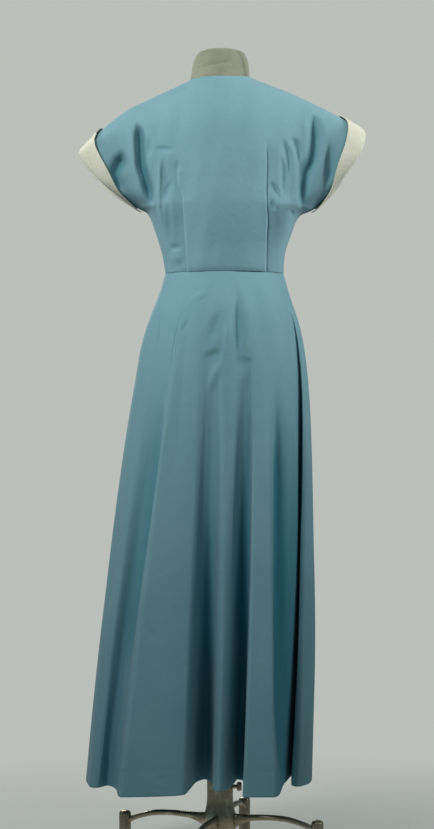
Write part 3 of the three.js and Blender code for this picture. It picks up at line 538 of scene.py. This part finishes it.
# Folds: a line through (x, z) in the back view, its reach to each side of the line (for a line that
# goes down, first towards the wearer's left), and its depth. A ridge has a negative depth.
BACK_FOLDS = [
    ([(170, 1469), (166, 1448), (164, 1413), (162, 1381), (153, 1351), (145, 1321),
      (137, 1296)], 5.5, 11, 19),
    ([(198, 1417), (200, 1400), (203, 1388), (210, 1374), (213, 1361), (211, 1347), (205, 1329),
      (197, 1312)], 11, 11, 17),
    ([(-175, 1487), (-178, 1468), (-178, 1432), (-174, 1399), (-165, 1376), (-157, 1346), (-154, 1312),
      (-153, 1288)], 6, 14, 16),
    ([(-130, 1437), (-142, 1425), (-149, 1408), (-151, 1390), (-151, 1366), (-149, 1340)], 4.5, 6.5, 6),
    ([(-113, 1432), (-121, 1421), (-129, 1398), (-130, 1368), (-128, 1337)], 7, 3, 5),
    ([(-111, 1401), (-119, 1376), (-121, 1346), (-115, 1313)], 7, 3, 5),
    ([(-90, 1351), (-104, 1332), (-112, 1309)], 6, 2.5, 4),
    ([(-93, 1315), (-104, 1288)], 5, 2.5, 3.5),
    ([(-211, 1440), (-210, 1399), (-207, 1357), (-200, 1323)], 5, 18, 10),
    ([(-133, 1296), (-140, 1279)], 4, 4, 4),
    ([(146, 1440), (146, 1415), (145, 1395)], 3, 6, 4),
    ([(139, 1411), (123, 1413), (108, 1411), (90, 1409)], 8, 2.5, 3.6),
    ([(124, 1399), (125, 1358), (126, 1309), (123, 1280), (117, 1241)], 4.5, 4.5, -6),
    ([(116, 1401), (118, 1372), (116, 1348), (115, 1315)], 3, 9, 4.4),
    ([(98, 1352), (110, 1333), (114, 1306)], 3, 7, 3.8),
    ([(108, 1318), (107, 1290), (105, 1258), (100, 1214)], 7, 7, 3.4),
    ([(133, 1322), (131, 1292), (128, 1258), (121, 1208)], 7, 7, 4.2),
    ([(89, 1391), (88, 1364)], 2.5, 5, 3),
    ([(108, 1217), (94, 1219), (78, 1218)], 3, 7, 4),
    ([(112, 1198), (94, 1200), (74, 1200)], 11, 11, -4),
]
BACK_TUCKS = [
    # wearer's side, line from the waist up, height at which the stitching ends, pinch of the stitching
    (1, [(70, 1172), (73, 1225), (78, 1314), (88, 1349), (89, 1396)], 1404, 0.4),
    (-1, [(-84, 1172), (-85, 1243), (-87, 1270), (-84, 1330), (-86, 1380), (-84, 1428)], 1436, 1.5),
]
TUCK_STEP = 4.6
TUCK_REACH = 24.0
TUCK_FADE = 45.0
TUCK_LAP = 2.0
TUCK_EDGE = 5.0
STITCH_AT = 0.6
STITCH_WIDTH = 2.3
WAIST_BLOUSE = 1.4
BLOUSE_HALF_WIDTH = 88.0
BLOUSE_MIDDLE_X = -4.0
BLOUSE_FULL_Z = 1184.0
UNDERARM_HANG = 10.0
UNDERARM_X = 120.0
UNDERARM_Z = 1284.0
SEAM_DEPTH = 0.4
SEAM_WIDTH = 2.6
# Fold depth in millimetres at which the painted shade in the cloth colour is full.
FULL_SHADE_DEPTH = 27.0
LONG_FOLD_POINTS = 5
FADE_LONG = 0.27
FADE_SHORT = 0.45
END_REACH = 0.45
LIP_HEIGHT = 0.13
LIP_AT = 2.6


def shoulder_fall(share, line):
    """How far the shoulder seam has dropped from the nape, as a share of its whole drop: a parabola
    over the neckline and the line's own heights from the side of the neck to the sleeve's tip."""
    heights = smooth_column(line, np.interp(share, SHOULDER_SHARE, np.arange(len(SHOULDER_SHARE))))
    at_neck = NAPE_Z + (line[0] - NAPE_Z) * (share / NECK_SHARE) ** 2
    return (NAPE_Z - np.where(share <= NECK_SHARE, at_neck, heights)) / (NAPE_Z - line[-1])


def soft_shoulder_fall(line):
    """The same drop blurred by a bell curve over the panel's half width, and unblurred near the tip."""
    steps = np.linspace(-1.5, 1.5, 601)
    kernel = bell(np.arange(-60, 61) * 0.005, BLUR_WIDTH)
    blurred = np.convolve(shoulder_fall(np.abs(steps).clip(0, 1), line), kernel / kernel.sum(), "same")
    exact = shoulder_fall(SHARES, line)
    return exact + (np.interp(SHARES, steps, blurred) - exact) * eased((1 - SHARES) / 0.3)


SHARES = np.linspace(0, 1, 201)
SOFT_FALL_LEFT = soft_shoulder_fall(SHOULDER_LEFT)
SOFT_FALL_RIGHT = soft_shoulder_fall(SHOULDER_RIGHT)


def bodice_surface(across, row, facing):
    """Bodice without folds. Across runs from -1 at the wearer's right edge to 1 at the left one, row
    numbers the sections from the waist to the shoulder, facing is 1 on the back and -1 on the front.
    A section's width and height come from the table, its height falls off from the middle as the
    shoulder seam does, and its depth goes over from a rounded trunk to a flat sleeve."""
    share = np.abs(across)
    left = across >= 0
    value = table_at(SECTIONS, row)
    x = across * np.where(left, value["left_x"], value["right_x"]) + value["mid_x"] * (1 - share)
    edge_z = np.where(left, value["left_z"], value["right_z"])
    down = np.clip((SHOULDER_ROW - row) / SHOULDER_ROUND_ROWS, 0, 1)
    soft = eased(down / 0.3)
    fall = np.where(left, shoulder_fall(share, SHOULDER_LEFT), shoulder_fall(share, SHOULDER_RIGHT))
    soft_fall = np.where(left, np.interp(share, SHARES, SOFT_FALL_LEFT),
                         np.interp(share, SHARES, SOFT_FALL_RIGHT))
    fall = fall + (soft_fall - fall) * soft
    neck_round = np.sqrt(np.maximum(0, 1 - (share / NECK_SHARE) ** 2))
    neck_round = neck_round + (bell(share, 0.8 * NECK_SHARE) - neck_round) * soft
    underarm_z = SECTIONS["mid_z"][UNDERARM_ROW]
    rise = np.clip((value["mid_z"] - underarm_z) / (NAPE_Z - underarm_z), 0, 1)
    neck_drop = 0 if facing > 0 else NECK_FRONT_DROP * neck_round**NECK_FRONT_POWER * rise
    z = value["mid_z"] + (edge_z - value["mid_z"]) * fall - neck_drop
    trunk = np.sqrt(np.maximum(0, 1 - share ** (SIDE_POWER_BACK if facing > 0 else SIDE_POWER_FRONT)))
    level = (1 + np.cos(np.pi * np.minimum(1, share))) / 2
    gape = np.maximum(0, value["gape"])
    depth = value["back"] if facing > 0 else value["front"]
    body_y = gape + (depth - gape) * (trunk + (level - trunk) * np.clip(value["sleeve"], 0, 1))
    neck_y = (NECK_BACK_DEPTH if facing > 0 else NECK_FRONT_DEPTH) * neck_round
    y = neck_y + (body_y - neck_y) * np.sqrt(1 - (1 - down) ** 2)
    return x, y, z


def fold_depth(x, z, folds):
    """How deep a point of the back view lies in a list of folds. On the side of its smaller reach a
    fold rises as a straight wall over twice that reach to a low lip, on the other as a bell curve, and
    on both as a bell curve if the reaches are alike. Long folds fade in over a quarter from each end,
    short ones over almost half, and all are narrower there."""
    total = np.zeros(x.shape)
    for line, reach_first, reach_second, depth in folds:
        corners = np.array(line, float)
        rows = np.linspace(0, len(corners) - 1, 8 * len(corners))
        path = np.stack([smooth_column(corners[:, 0], rows), smooth_column(corners[:, 1], rows)], axis=1)
        room = 4 * max(reach_first, reach_second)
        near = ((x > path[:, 0].min() - room) & (x < path[:, 0].max() + room)
                & (z > path[:, 1].min() - room) & (z < path[:, 1].max() + room))
        if not near.any():
            continue
        at = np.stack([x[near], z[near]], axis=1)[:, None, :]
        start, step = path[:-1], np.diff(path, axis=0)
        along = np.clip(((at - start) * step).sum(2) / (step**2).sum(1), 0, 1)
        gap = at - (start + along[..., None] * step)
        distance = np.hypot(gap[..., 0], gap[..., 1])
        best = distance.argmin(1)
        pick = np.arange(len(best))
        side = step[best, 0] * gap[pick, best, 1] - step[best, 1] * gap[pick, best, 0]
        place = (best + along[pick, best]) / len(step)
        end = FADE_LONG if len(line) > LONG_FOLD_POINTS else FADE_SHORT
        fade = eased(place / end) * eased((1 - place) / end)
        steep = min(reach_first, reach_second)
        on_wall = ((side > 0) == (reach_first < reach_second)) & (reach_first != reach_second)
        away = distance[pick, best]
        far = away / (np.where(side > 0, reach_first, reach_second) * (END_REACH + (1 - END_REACH) * fade))
        shape = np.where(on_wall, np.clip(1 - far / 2, 0, 1), bell(far, 1))
        lip = LIP_HEIGHT * on_wall * bell(away / steep - LIP_AT, 1)
        total[near] += depth * fade * (shape - lip)
    return total


def tuck_step(x, z):
    """Step down from the middle to the side along each tuck, with a narrow pinch on its stitching."""
    total = np.zeros(x.shape)
    for side, line, top_z, pinch in BACK_TUCKS:
        line_x, line_z = np.array(line, float).T
        outside = (x - np.interp(z, line_z, line_x)) * side
        fade = eased((top_z - z) / TUCK_FADE)
        slope = eased((outside + TUCK_LAP) / (TUCK_EDGE - pinch)) * np.clip(1 - outside / TUCK_REACH, 0, 1)
        total -= fade * (TUCK_STEP * slope + bell(outside - STITCH_AT, STITCH_WIDTH, pinch))
    return total


def waist_blouse(x, z):
    """The middle of the back puffs out above the waist seam and drops steeply into it."""
    across = eased((BLOUSE_HALF_WIDTH - np.abs(x - BLOUSE_MIDDLE_X)) / 14)
    rise = eased((z - WAIST_Z) / 9)
    return WAIST_BLOUSE * across * rise * bell(np.maximum(z - BLOUSE_FULL_Z, 0), 26)


def underarm_fill(x, z):
    """The cloth below each arm hangs out from the body: a broad bell curve about one point."""
    return UNDERARM_HANG * np.exp(-(((z - UNDERARM_Z) / 30) ** 2) - ((np.abs(x) - UNDERARM_X) / 26) ** 2)


def seam_dip(x, z):
    """Narrow groove at the waist seam, shallower towards the sides."""
    shallower = 0.2 + 0.8 * eased((100 - np.abs(x + 3)) / 20)
    return bell(z - WAIST_Z, SEAM_WIDTH, SEAM_DEPTH) * shallower


def bodice_points(across, row, facing, details, folds):
    """Bodice surface pushed out by its details and in by its folds, both dying out at the seams and under
    the cuffs, and how far into a fold each point lies as a share of the full depth, which is its share
    of painted shade in the cloth colour."""
    x, y, z = bodice_surface(across, row, facing)
    open_share = eased(y / 40) * eased((1 - np.abs(across)) / 0.12)
    sunk = fold_depth(x, z, folds) * open_share
    y = y + details(x, z) * open_share - sunk - seam_dip(x, z) * eased(y / 30)
    return np.stack([x, facing * np.maximum(0, y), z], axis=2), np.clip(sunk / FULL_SHADE_DEPTH, 0, 1)


def slow_waves(x, z, seed):
    """Long shallow waves, drawn out about twice as long down the cloth as across it."""
    return waves(x, z * 0.45, 46, 0.75, seed)


def back_details(x, z):
    """Sum of the tucks, the puff above the waist, the hang under the arms and slow waves."""
    return tuck_step(x, z) + waist_blouse(x, z) + underarm_fill(x, z) + slow_waves(x, z, 11)


BLUE_DARK = (0.146, 0.300, 0.352, 1)
BLUE_LIGHT = (0.200, 0.376, 0.430, 1)
# The third blue is painted shade: the darker tone painted into fold hollows and over the skirt.
BLUE_PAINTED_SHADE = (0.028, 0.190, 0.256, 1)
blue_cotton = cloth_material("blue_cotton", BLUE_DARK, BLUE_LIGHT, BLUE_PAINTED_SHADE, thread=0.00055,
                             patch_size=5.0, weave_depth=0.00012, crumple_depth=0.0011)

# Grid lines of the bodice, closest where it bends most
half_steps = np.concatenate([
    np.linspace(0, 0.26, 18, endpoint=False), np.linspace(0.26, 0.84, 96, endpoint=False),
    np.linspace(0.84, 1, 31),
])
BACK_ACROSS = np.concatenate([-half_steps[:0:-1], half_steps])
BODICE_ROWS = np.concatenate([
    np.linspace(0, 0.5, 14, endpoint=False), np.linspace(0.5, 7.2, 114, endpoint=False),
    7.2 + 1.8 * np.sin(np.linspace(0, np.pi / 2, 36)),
])


def cloth_piece(name, points, material=blue_cotton, thickness=CLOTH_THICKNESS, offset=-1, **form):
    """A sheet of cloth given its thickness, inwards at an offset of -1 and half to each side at 0."""
    piece = grid_piece(name, points, material, **form)
    wall = piece.modifiers.new("thickness", "SOLIDIFY")
    wall.thickness = thickness
    wall.offset = offset
    return piece


across, row = np.meshgrid(BACK_ACROSS, BODICE_ROWS)
points, hollow = bodice_points(across, row, 1, back_details, BACK_FOLDS)
bodice_back = cloth_piece("bodice_back_panel", points, hollow=hollow)
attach(bodice_back, "dressed_form")
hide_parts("bodice_back")


# Bodice fronts
# The same cotton, each front cut in one with its sleeve front and faced along the middle. The
# wearer's right front laps over the left one, and both hang in softer folds from the shoulders.
FRONT_LAP = 17.0
LAP_RAMP = 45.0
LAP_LIFT = 1.8
FRONT_FOLDS = [
    ([(172, 1480), (170, 1440), (164, 1395), (157, 1350), (150, 1305)], 6, 13, 13),
    ([(-175, 1492), (-174, 1440), (-169, 1390), (-161, 1345), (-154, 1300)], 13, 6, 13),
    ([(206, 1438), (210, 1400), (214, 1368), (208, 1336)], 14, 7, 9),
    ([(-212, 1446), (-214, 1405), (-211, 1370), (-206, 1336)], 7, 15, 9),
    ([(128, 1430), (124, 1390), (122, 1340), (126, 1290)], 8, 8, 4),
    ([(-124, 1436), (-120, 1385), (-121, 1335), (-127, 1285)], 8, 8, 4),
    ([(96, 1262), (90, 1230), (86, 1186)], 8, 8, 4.5),
    ([(-98, 1258), (-93, 1225), (-88, 1184)], 8, 8, 4.5),
    ([(62, 1240), (60, 1212), (58, 1182)], 6, 6, 3),
    ([(-66, 1244), (-62, 1214), (-60, 1182)], 6, 6, 3),
]


def front_details(x, z):
    """Sum of the hang under the arms and slow waves."""
    return underarm_fill(x, z) + slow_waves(x, z, 23)


front_steps = np.linspace(0, 1, 118)
front_shares = 0.5 * front_steps + 0.5 * np.sin(front_steps * np.pi / 2)
for side, name in ((1, "left"), (-1, "right")):
    lap = FRONT_LAP / smooth_column(SECTIONS["left_x"], BODICE_ROWS)[:, None]
    across = side * (front_shares[None, :] * (1 + lap) - lap)
    row = np.repeat(BODICE_ROWS[:, None], len(front_steps), axis=1)
    points, hollow = bodice_points(across, row, -1, front_details, FRONT_FOLDS)
    if side < 0:
        from_middle = -points[:, :, 0]
        points[:, :, 1] -= LAP_LIFT * eased((LAP_RAMP - from_middle) / (LAP_RAMP - FRONT_LAP - 3))
    front = cloth_piece(f"bodice_front_{name}_panel", points, flip=side > 0, hollow=hollow)
    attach(front, "dressed_form")
    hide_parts(f"bodice_front_{name}")


# Cuffs
# Starched white cotton bands, sewn inside the sleeves' hems and turned back over them. Their free
# edges stand a little off the sleeves, with pressed corners at the shoulder seam and behind.
CUFF_FLARE = 5.5
CUFF_STAND = 2.2
CUFF_OVERHANG = 2.5
CUFF_TUCKED_IN = 11.0
CUFF_WIDTHS = {1: [12, 18, 27, 34, 34, 31], -1: [10, 15, 24, 33, 36, 34]}
CUFF_THICKNESS = 0.0014
WHITE_DARK = (0.56, 0.565, 0.465, 1)
WHITE_LIGHT = (0.72, 0.725, 0.625, 1)
# The third white is painted shade for fold hollows.
WHITE_PAINTED_SHADE = (0.46, 0.465, 0.37, 1)


def sleeve_point(side, row, distance, facing):
    """Point of the sleeve at a distance in from its mouth. The way in runs along the underarm seam at
    the seam and turns across the sleeve within the first section above it."""
    def edge(share, at):
        """Point of the plain sleeve at a share of the way across and a row, as one array."""
        return np.stack(bodice_surface(side * share, at, facing), axis=-1)
    one = np.ones_like(row)
    turn_in = eased((row - SLEEVE_SEAM_ROW) / 0.9) * np.pi / 2
    speed_across = np.linalg.norm(edge(one, row) - edge(0.97 * one, row), axis=-1) / 0.03
    speed_up = np.linalg.norm(edge(one, row) - edge(one, row - 0.1), axis=-1) / 0.1
    share = 1 - np.sin(turn_in) * distance / speed_across
    at = row - np.cos(turn_in) * distance / speed_up
    point = edge(share, at)
    point[..., 1] *= facing
    return point


def outward(points, outside):
    """Unit normals of a grid of points from its differences both ways, on the side that outside says."""
    normal = np.cross(np.gradient(points, axis=0), np.gradient(points, axis=1))
    normal /= np.maximum(np.linalg.norm(normal, axis=2, keepdims=True), 1e-9)
    return normal * np.sign((normal * outside).sum(2, keepdims=True))


white_cotton = cloth_material("white_cotton", WHITE_DARK, WHITE_LIGHT, WHITE_PAINTED_SHADE, thread=0.0006,
                              patch_size=16.0, weave_depth=0.00014, crumple_depth=0.0009)
mouth_rows = SLEEVE_SEAM_ROW + (SHOULDER_ROW - SLEEVE_SEAM_ROW) * np.linspace(0, 1, 76)
over_steps = np.concatenate([np.linspace(-1, 0, 12, endpoint=False), np.linspace(0, 1, 30)])
for side, name in ((1, "left"), (-1, "right")):
    halves = []
    for facing in (1, -1):
        row, over = np.meshgrid(mouth_rows, over_steps)
        climb = (row - SLEEVE_SEAM_ROW) / (SHOULDER_ROW - SLEEVE_SEAM_ROW)
        width = smooth_column(CUFF_WIDTHS[side], row - SLEEVE_SEAM_ROW)
        share = np.maximum(over, 0)
        inside = -over * (CUFF_TUCKED_IN + CUFF_OVERHANG)
        distance = np.where(over >= 0, share * (width + CUFF_OVERHANG), inside) - CUFF_OVERHANG
        base = sleeve_point(side, row, distance, facing)
        base[:, [0, -1], 1] = 0
        away = np.stack([side * (0.25 + 0 * row), facing * (0.15 + climb * (1 - climb) * 4), climb - 0.55],
                        axis=2)
        stand = CUFF_STAND + CUFF_FLARE * share**0.6 * (0.35 + 0.65 * np.sin(np.pi * climb) ** 2)
        stand = np.where(over < 0, CUFF_STAND * (1 - 2.0 * eased(-over / 0.35)), stand)
        stand += waves(row * 30, distance, 40, 0.5, 31 + side) * eased(over)
        normal = outward(base, away)
        normal[:, [0, -1], 1] = 0
        halves.append(base + normal * stand[..., None])
    ring = np.concatenate([halves[0], halves[1][:, -2:0:-1]], axis=1)
    cuff = cloth_piece(f"cuff_{name}_band", ring, white_cotton, CUFF_THICKNESS, 0, ring=True, flip=side > 0)
    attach(cuff, "dressed_form")
    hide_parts(f"cuff_{name}")


# Skirt
# Two flared panels of the blue cotton, joined at the sides and sewn to the bodice at the waist. They
# fall from the hip in deep uneven folds to a turned-up hem, and carry creases from being stored folded.
HEM_Z = 162.0
SKIRT_SECTIONS = table("z left right back front", [
    (1172, 115, 121, 88, 94), (1125, 130, 134, 105, 106), (1085, 146, 148, 118, 117),
    (1030, 163, 161, 129, 126), (950, 177, 171, 138, 136), (840, 195, 177, 147, 147),
    (660, 219, 181, 158, 159), (460, 244, 183, 168, 170), (290, 262, 181, 174, 177),
    (162, 274, 178, 178, 182),
])
# Crests and troughs round the skirt from the left side seam over the back: where each starts on the
# hip in degrees, its place at the hem, the height where it starts, how far it lifts the hem, how late
# it opens, and how far its colour is darkened by painted shade.
CRESTS = table("hip x y top lift late hollow", [
    (0, 274, 0, 1100, 0, 1.3, 0), (16, 266, 62, 1100, 0, 1.2, 0), (27, 258, 88, 1100, 0, 1.1, 0),
    (36, 247, 100, 1090, 1, 1.1, 0.05), (46, 226, 82, 1010, 2, 0.95, 0.35),
    (54, 208, 124, 1010, 3, 0.85, 0.28), (57.5, 201, 180, 1130, 0, 1.15, 0),
    (60, 192, 188, 1130, -1, 1.15, 0), (64, 140, 188, 1110, 0, 1.2, 0),
    (74, 76, 179, 1070, 2, 1.25, 0.05), (77.5, 64, 136, 1050, 5, 1.3, 0.25),
    (80.5, 52, 84, 1040, 9, 1.3, 0.5), (83.5, 36, 64, 1030, 11, 1.25, 0.65),
    (87, 22, 92, 1040, 8, 1.25, 0.4), (89.8, 19, 136, 1060, 4, 1.4, 0.05),
    (92.5, 9, 150, 1060, 2, 1.45, 0), (96.5, -8, 134, 1060, 4, 1.45, 0.1),
    (100.5, -21, 86, 1050, 7, 1.3, 0.5), (104.5, -28, 60, 1035, 10, 1.2, 0.85),
    (108.5, -40, 74, 1020, 9, 1.1, 0.75), (110.5, -37, 176, 1040, 0, 1.3, 0),
    (112, -43, 189, 1060, -1, 1.4, 0), (116.5, -96, 187, 1060, -1, 1.35, 0),
    (120, -106, 172, 1060, -1, 1.35, 0.4), (143, -122, 84, 1060, 7, 1.2, 0.9),
    (158, -137, 10, 1090, 8, 0.78, 1), (160, -134, 78, 1080, 3, 0.9, 0),
    (164, -145, 84, 1080, 0, 1.0, 0), (172, -170, 46, 1080, 0, 1.3, 0),
    (180, -178, 0, 1090, 0, 1.3, 0), (192, -170, -60, 1090, 0, 1.3, 0),
    (203, -142, -90, 1080, 6, 1.3, 0.7), (214, -128, -172, 1080, 0, 1.3, 0),
    (230, -72, -188, 1080, 0, 1.3, 0), (243, -42, -92, 1060, 10, 1.3, 0.8),
    (255, -18, -184, 1080, 0, 1.3, 0), (272, 48, -192, 1080, 0, 1.3, 0),
    (285, 82, -100, 1050, 10, 1.3, 0.8), (297, 110, -188, 1080, 0, 1.3, 0),
    (312, 172, -176, 1090, 0, 1.3, 0), (322, 198, -112, 1070, 6, 1.3, 0.7),
    (335, 238, -122, 1090, 0, 1.3, 0), (348, 268, -58, 1100, 0, 1.3, 0),
])
RIGHT_SEAM = 29  # the row of the crest that lies on the wearer's right side seam
SKIRT_BACK_FOLDS = [
    ([(44, 998), (20, 1007), (-2, 1017)], 14, 5, 4),
    ([(-18, 1001), (-40, 994), (-64, 993)], 14, 5, 2.2),
    ([(2, 998), (18, 965), (32, 926)], 8, 8, -4),
    ([(-28, 1142), (-29, 1065), (-29, 978)], 6, 11, 7.5),
    ([(-10, 1098), (-8, 1040), (0, 982)], 7, 7, -3),
    ([(72, 1112), (48, 1121), (24, 1133)], 5, 5, -3),
    ([(6, 1098), (17, 1066), (30, 1030)], 6, 17, 3.8),
    ([(67, 1075), (75, 1062), (83, 1048)], 5, 5, 1.8),
    ([(84, 1104), (95, 1040), (106, 968)], 5, 5, -2.6),
    ([(40, 635), (5, 634)], 4, 4, 2),
    ([(107, 612), (90, 611)], 4, 4, 1.8),
    ([(-92, 583), (-122, 581)], 4, 4, 2),
    ([(152, 490), (138, 474), (120, 458)], 5, 5, 2.6),
    ([(160, 208), (135, 190), (104, 176)], 6, 6, -2.6),
    ([(140, 182), (118, 196), (100, 200)], 5, 5, 2.2),
    ([(124, 1126), (127, 1060), (133, 978)], 2.2, 2.2, 2),
    ([(-104, 985), (-110, 850), (-112, 700), (-112, 540), (-113, 390), (-116, 250),
      (-119, 110)], 12, 12, 17),
    ([(-127, 990), (-130, 880), (-132, 760), (-130, 640), (-127, 520), (-123, 400)], 9, 9, -6),
    ([(111, 975), (128, 828), (147, 688), (164, 567), (179, 458), (190, 362)], 11, 4, 9),
]
SKIRT_FRONT_FOLDS = [
    ([(30, 1130), (27, 1060), (24, 990)], 15, 15, 4),
    ([(-60, 1010), (-30, 1018), (-2, 1012)], 6, 6, 2.6),
    ([(90, 640), (60, 636)], 4, 4, 2),
    ([(-110, 560), (-80, 566)], 4, 4, 2),
]
HEM_DEPTH = 48.0
HEM_STITCH_DEPTH = 0.7
HEM_STITCH_WIDTH = 2.5
SEAM_EASE = 0.35
HIP_MM_PER_DEGREE = 2.8
SKIRT_PAINTED_SHADE = 0.1  # painted shade: the whole skirt's colour goes a tenth of the way to the shade tone


def ring_column(values, rows):
    """Curve round through values without overshoot, where the one after the last is the first: between
    two values a cubic whose slope at each is twice the product of the differences before and after it
    over their sum, or level where the values turn."""
    count = len(values)
    after = np.roll(values, -1) - values
    before = np.roll(after, 1)
    total = after + before
    slopes = np.where(after * before > 0, 2 * after * before / np.where(total == 0, 1, total), 0)
    index = np.floor(rows).astype(int) % count
    share = np.mod(rows, count) - index
    following = (index + 1) % count
    return cubic(share, values[index], values[following], slopes[index], slopes[following])


def skirt_surface(turn, z):
    """Skirt without creases. A place on the smooth hip moves, from the height where its fold starts,
    towards the fold's place at the hem, by the share of the way down to a power. Its share of painted
    shade, most in the troughs, comes with it, eased in as the fold opens."""
    count = len(CRESTS["hip"])
    wrapped = np.mod(turn, count)
    hip = np.radians(np.interp(wrapped, np.arange(count + 1), np.append(CRESTS["hip"], 360)))
    sample = np.linspace(0, len(SKIRT_SECTIONS["z"]) - 1, 600)
    heights = smooth_column(SKIRT_SECTIONS["z"], sample)
    row = np.interp(-z, -heights, sample)

    def smooth_ring(at):
        """Ring of a section: an ellipse with a half width for each side, and a depth for back and front."""
        value = table_at(SKIRT_SECTIONS, at)
        side = np.where(np.cos(hip) >= 0, value["left"], value["right"])
        depth = np.where(np.sin(hip) >= 0, value["back"], value["front"])
        return np.cos(hip) * side, np.sin(hip) * depth

    top = ring_column(CRESTS["top"], wrapped)
    opened = np.clip((top - z) / (top - HEM_Z), 0, 1) ** ring_column(CRESTS["late"], wrapped)
    x, y = smooth_ring(row)
    hem_x, hem_y = smooth_ring(np.full_like(row, len(SKIRT_SECTIONS["z"]) - 1.0))
    x = x + (ring_column(CRESTS["x"], wrapped) - hem_x) * opened
    y = y + (ring_column(CRESTS["y"], wrapped) - hem_y) * opened
    z = z + ring_column(CRESTS["lift"], wrapped) * opened**2
    return np.stack([x, y, z], axis=2), ring_column(CRESTS["hollow"], wrapped) * eased(opened / 0.5)


SKIRT_HEIGHTS = np.concatenate([
    np.linspace(WAIST_Z, 1158, 8, endpoint=False), np.linspace(1158, 960, 48, endpoint=False),
    np.linspace(960, 230, 86, endpoint=False), np.linspace(230, HEM_Z, 20),
])
for name, first, last, per_crest, folds, flat_width, flat_area, seed in (
        ("back", 0, RIGHT_SEAM, 10, SKIRT_BACK_FOLDS, 1.22, 0.79, 51),
        ("front", RIGHT_SEAM, len(CRESTS["hip"]), 14, SKIRT_FRONT_FOLDS, 0.98, 0.665, 52)):
    turn, z = np.meshgrid(np.linspace(first, last, (last - first) * per_crest + 1), SKIRT_HEIGHTS)
    points, hollow = skirt_surface(turn, z)
    normal = outward(points, points * [1, 1, 0])
    seam_share = eased(np.minimum(turn - first, last - turn) / SEAM_EASE)
    depth = fold_depth(points[:, :, 0], points[:, :, 2], folds)
    # Painted shade: a tenth over the whole skirt, plus the troughs' share and the depth of the creases.
    hollow = np.clip(SKIRT_PAINTED_SHADE + hollow + np.maximum(depth, 0) / FULL_SHADE_DEPTH, 0, 1)
    push = -depth - seam_dip(points[:, :, 0], z)
    hip = np.interp(turn, np.arange(len(CRESTS["hip"]) + 1), np.append(CRESTS["hip"], 360))
    long_waves = waves(hip * HIP_MM_PER_DEGREE, z * 0.12, 46, 0.9, seed)
    push += long_waves * seam_share * eased((WAIST_Z - z) / 60)
    hem_line = bell(z - HEM_Z - HEM_DEPTH, HEM_STITCH_WIDTH)
    push -= seam_share * HEM_STITCH_DEPTH * hem_line * (1 + 0.6 * np.sin(hip * 1.7))
    points += normal * push[..., None]
    skirt = cloth_piece(f"skirt_{name}_panel", points, hollow=hollow)
    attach(skirt, "dressed_form")
    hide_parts(f"skirt_{name}")


# Buttons
# Five small sewn-through shell buttons down the middle of the upper front, each with a raised rim,
# four holes and a cross of white thread.
BUTTON_HEIGHTS = (1474, 1408, 1342, 1276, 1208)
BUTTON_LIFT = 2.3
BUTTON_RADII = np.array([0, 0.5, 1, 1.4, 1.8, 2.2, 2.6, 3, 3.6, 4.2, 4.8, 5.2, 5.8, 6.4, 6.8, 7, 7, 6.8,
                         6, 0])
BUTTON_FACE = np.array([2.2] * 8 + [2.25, 2.35, 2.6, 2.85, 3, 2.9, 2.6, 2.1, 0.7, 0.25, 0, 0])
BUTTON_FRONT = 2.0
HOLE_OFFSET = 1.35
HOLE_RADIUS = 0.55
HOLE_STEEPNESS = 1.6
HOLE_DEPTH = 0.5
THREAD_HEIGHT = 0.55
THREAD_RADIUS = 0.42
THREAD_REACH = 2.3
BUTTON_SEGMENTS = 96
BUTTON_SHARP_EDGE = np.radians(60)
SHELL_DARK = (0.70, 0.69, 0.61, 1)
SHELL_LIGHT = (0.88, 0.88, 0.84, 1)

button_shell, tree, shader = start_material("button_shell", {"Coat Weight": 0.25, "Coat Roughness": 0.2})
place = add_node(tree, "ShaderNodeTexCoord").outputs["Object"]
cloud = noise_node(tree, place, 190.0, 3.0, Distortion=1.2)
feed(tree, shader, {"Base Color": mixed(tree, cloud, SHELL_DARK, SHELL_LIGHT),
                    "Roughness": spread(tree, cloud, 0.3, 0.7, 0.22, 0.42)})
angle = full_turn(BUTTON_SEGMENTS)
face_x = np.outer(BUTTON_RADII, np.cos(angle))
face_y = np.outer(BUTTON_RADII, np.sin(angle))
holes = sum(
    np.exp(-(((face_x - a * HOLE_OFFSET) ** 2 + (face_y - b * HOLE_OFFSET) ** 2) / HOLE_RADIUS**2) ** 2)
    for a in (-1, 1) for b in (-1, 1))
off_cross = np.minimum(np.abs(face_x - face_y), np.abs(face_x + face_y)) / 2**0.5
thread = bell(off_cross, THREAD_RADIUS, THREAD_HEIGHT)
thread = thread * eased((THREAD_REACH - np.hypot(face_x, face_y)) / 0.5)
sewn = np.maximum(thread - HOLE_STEEPNESS * holes, thread - HOLE_DEPTH)
face_z = BUTTON_FACE[:, None] + np.where(BUTTON_FACE[:, None] > BUTTON_FRONT, sewn, 0)
sample_rows = np.linspace(0, SHOULDER_ROW - 0.2, 400)
middle = np.stack(bodice_surface(0 * sample_rows, sample_rows, -1), axis=1)
middle[:, 1] *= -1
for number, height in enumerate(BUTTON_HEIGHTS, 1):
    nearest = np.abs(middle[:, 2] - height).argmin()
    up = middle[nearest + 1] - middle[nearest - 1]
    up /= np.linalg.norm(up)
    out = np.cross(up, [-1.0, 0, 0])
    out *= np.sign(-out[1])
    centre = middle[nearest] + out * BUTTON_LIFT
    side_way = np.cross(up, out)
    points = centre + face_x[..., None] * side_way + face_y[..., None] * up + face_z[..., None] * out
    button = grid_piece(f"button_shell_{number}", points, button_shell, ring=True,
                        sharp_angle=BUTTON_SHARP_EDGE)
    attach(button, "dressed_form")
    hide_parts(f"button_{number}")
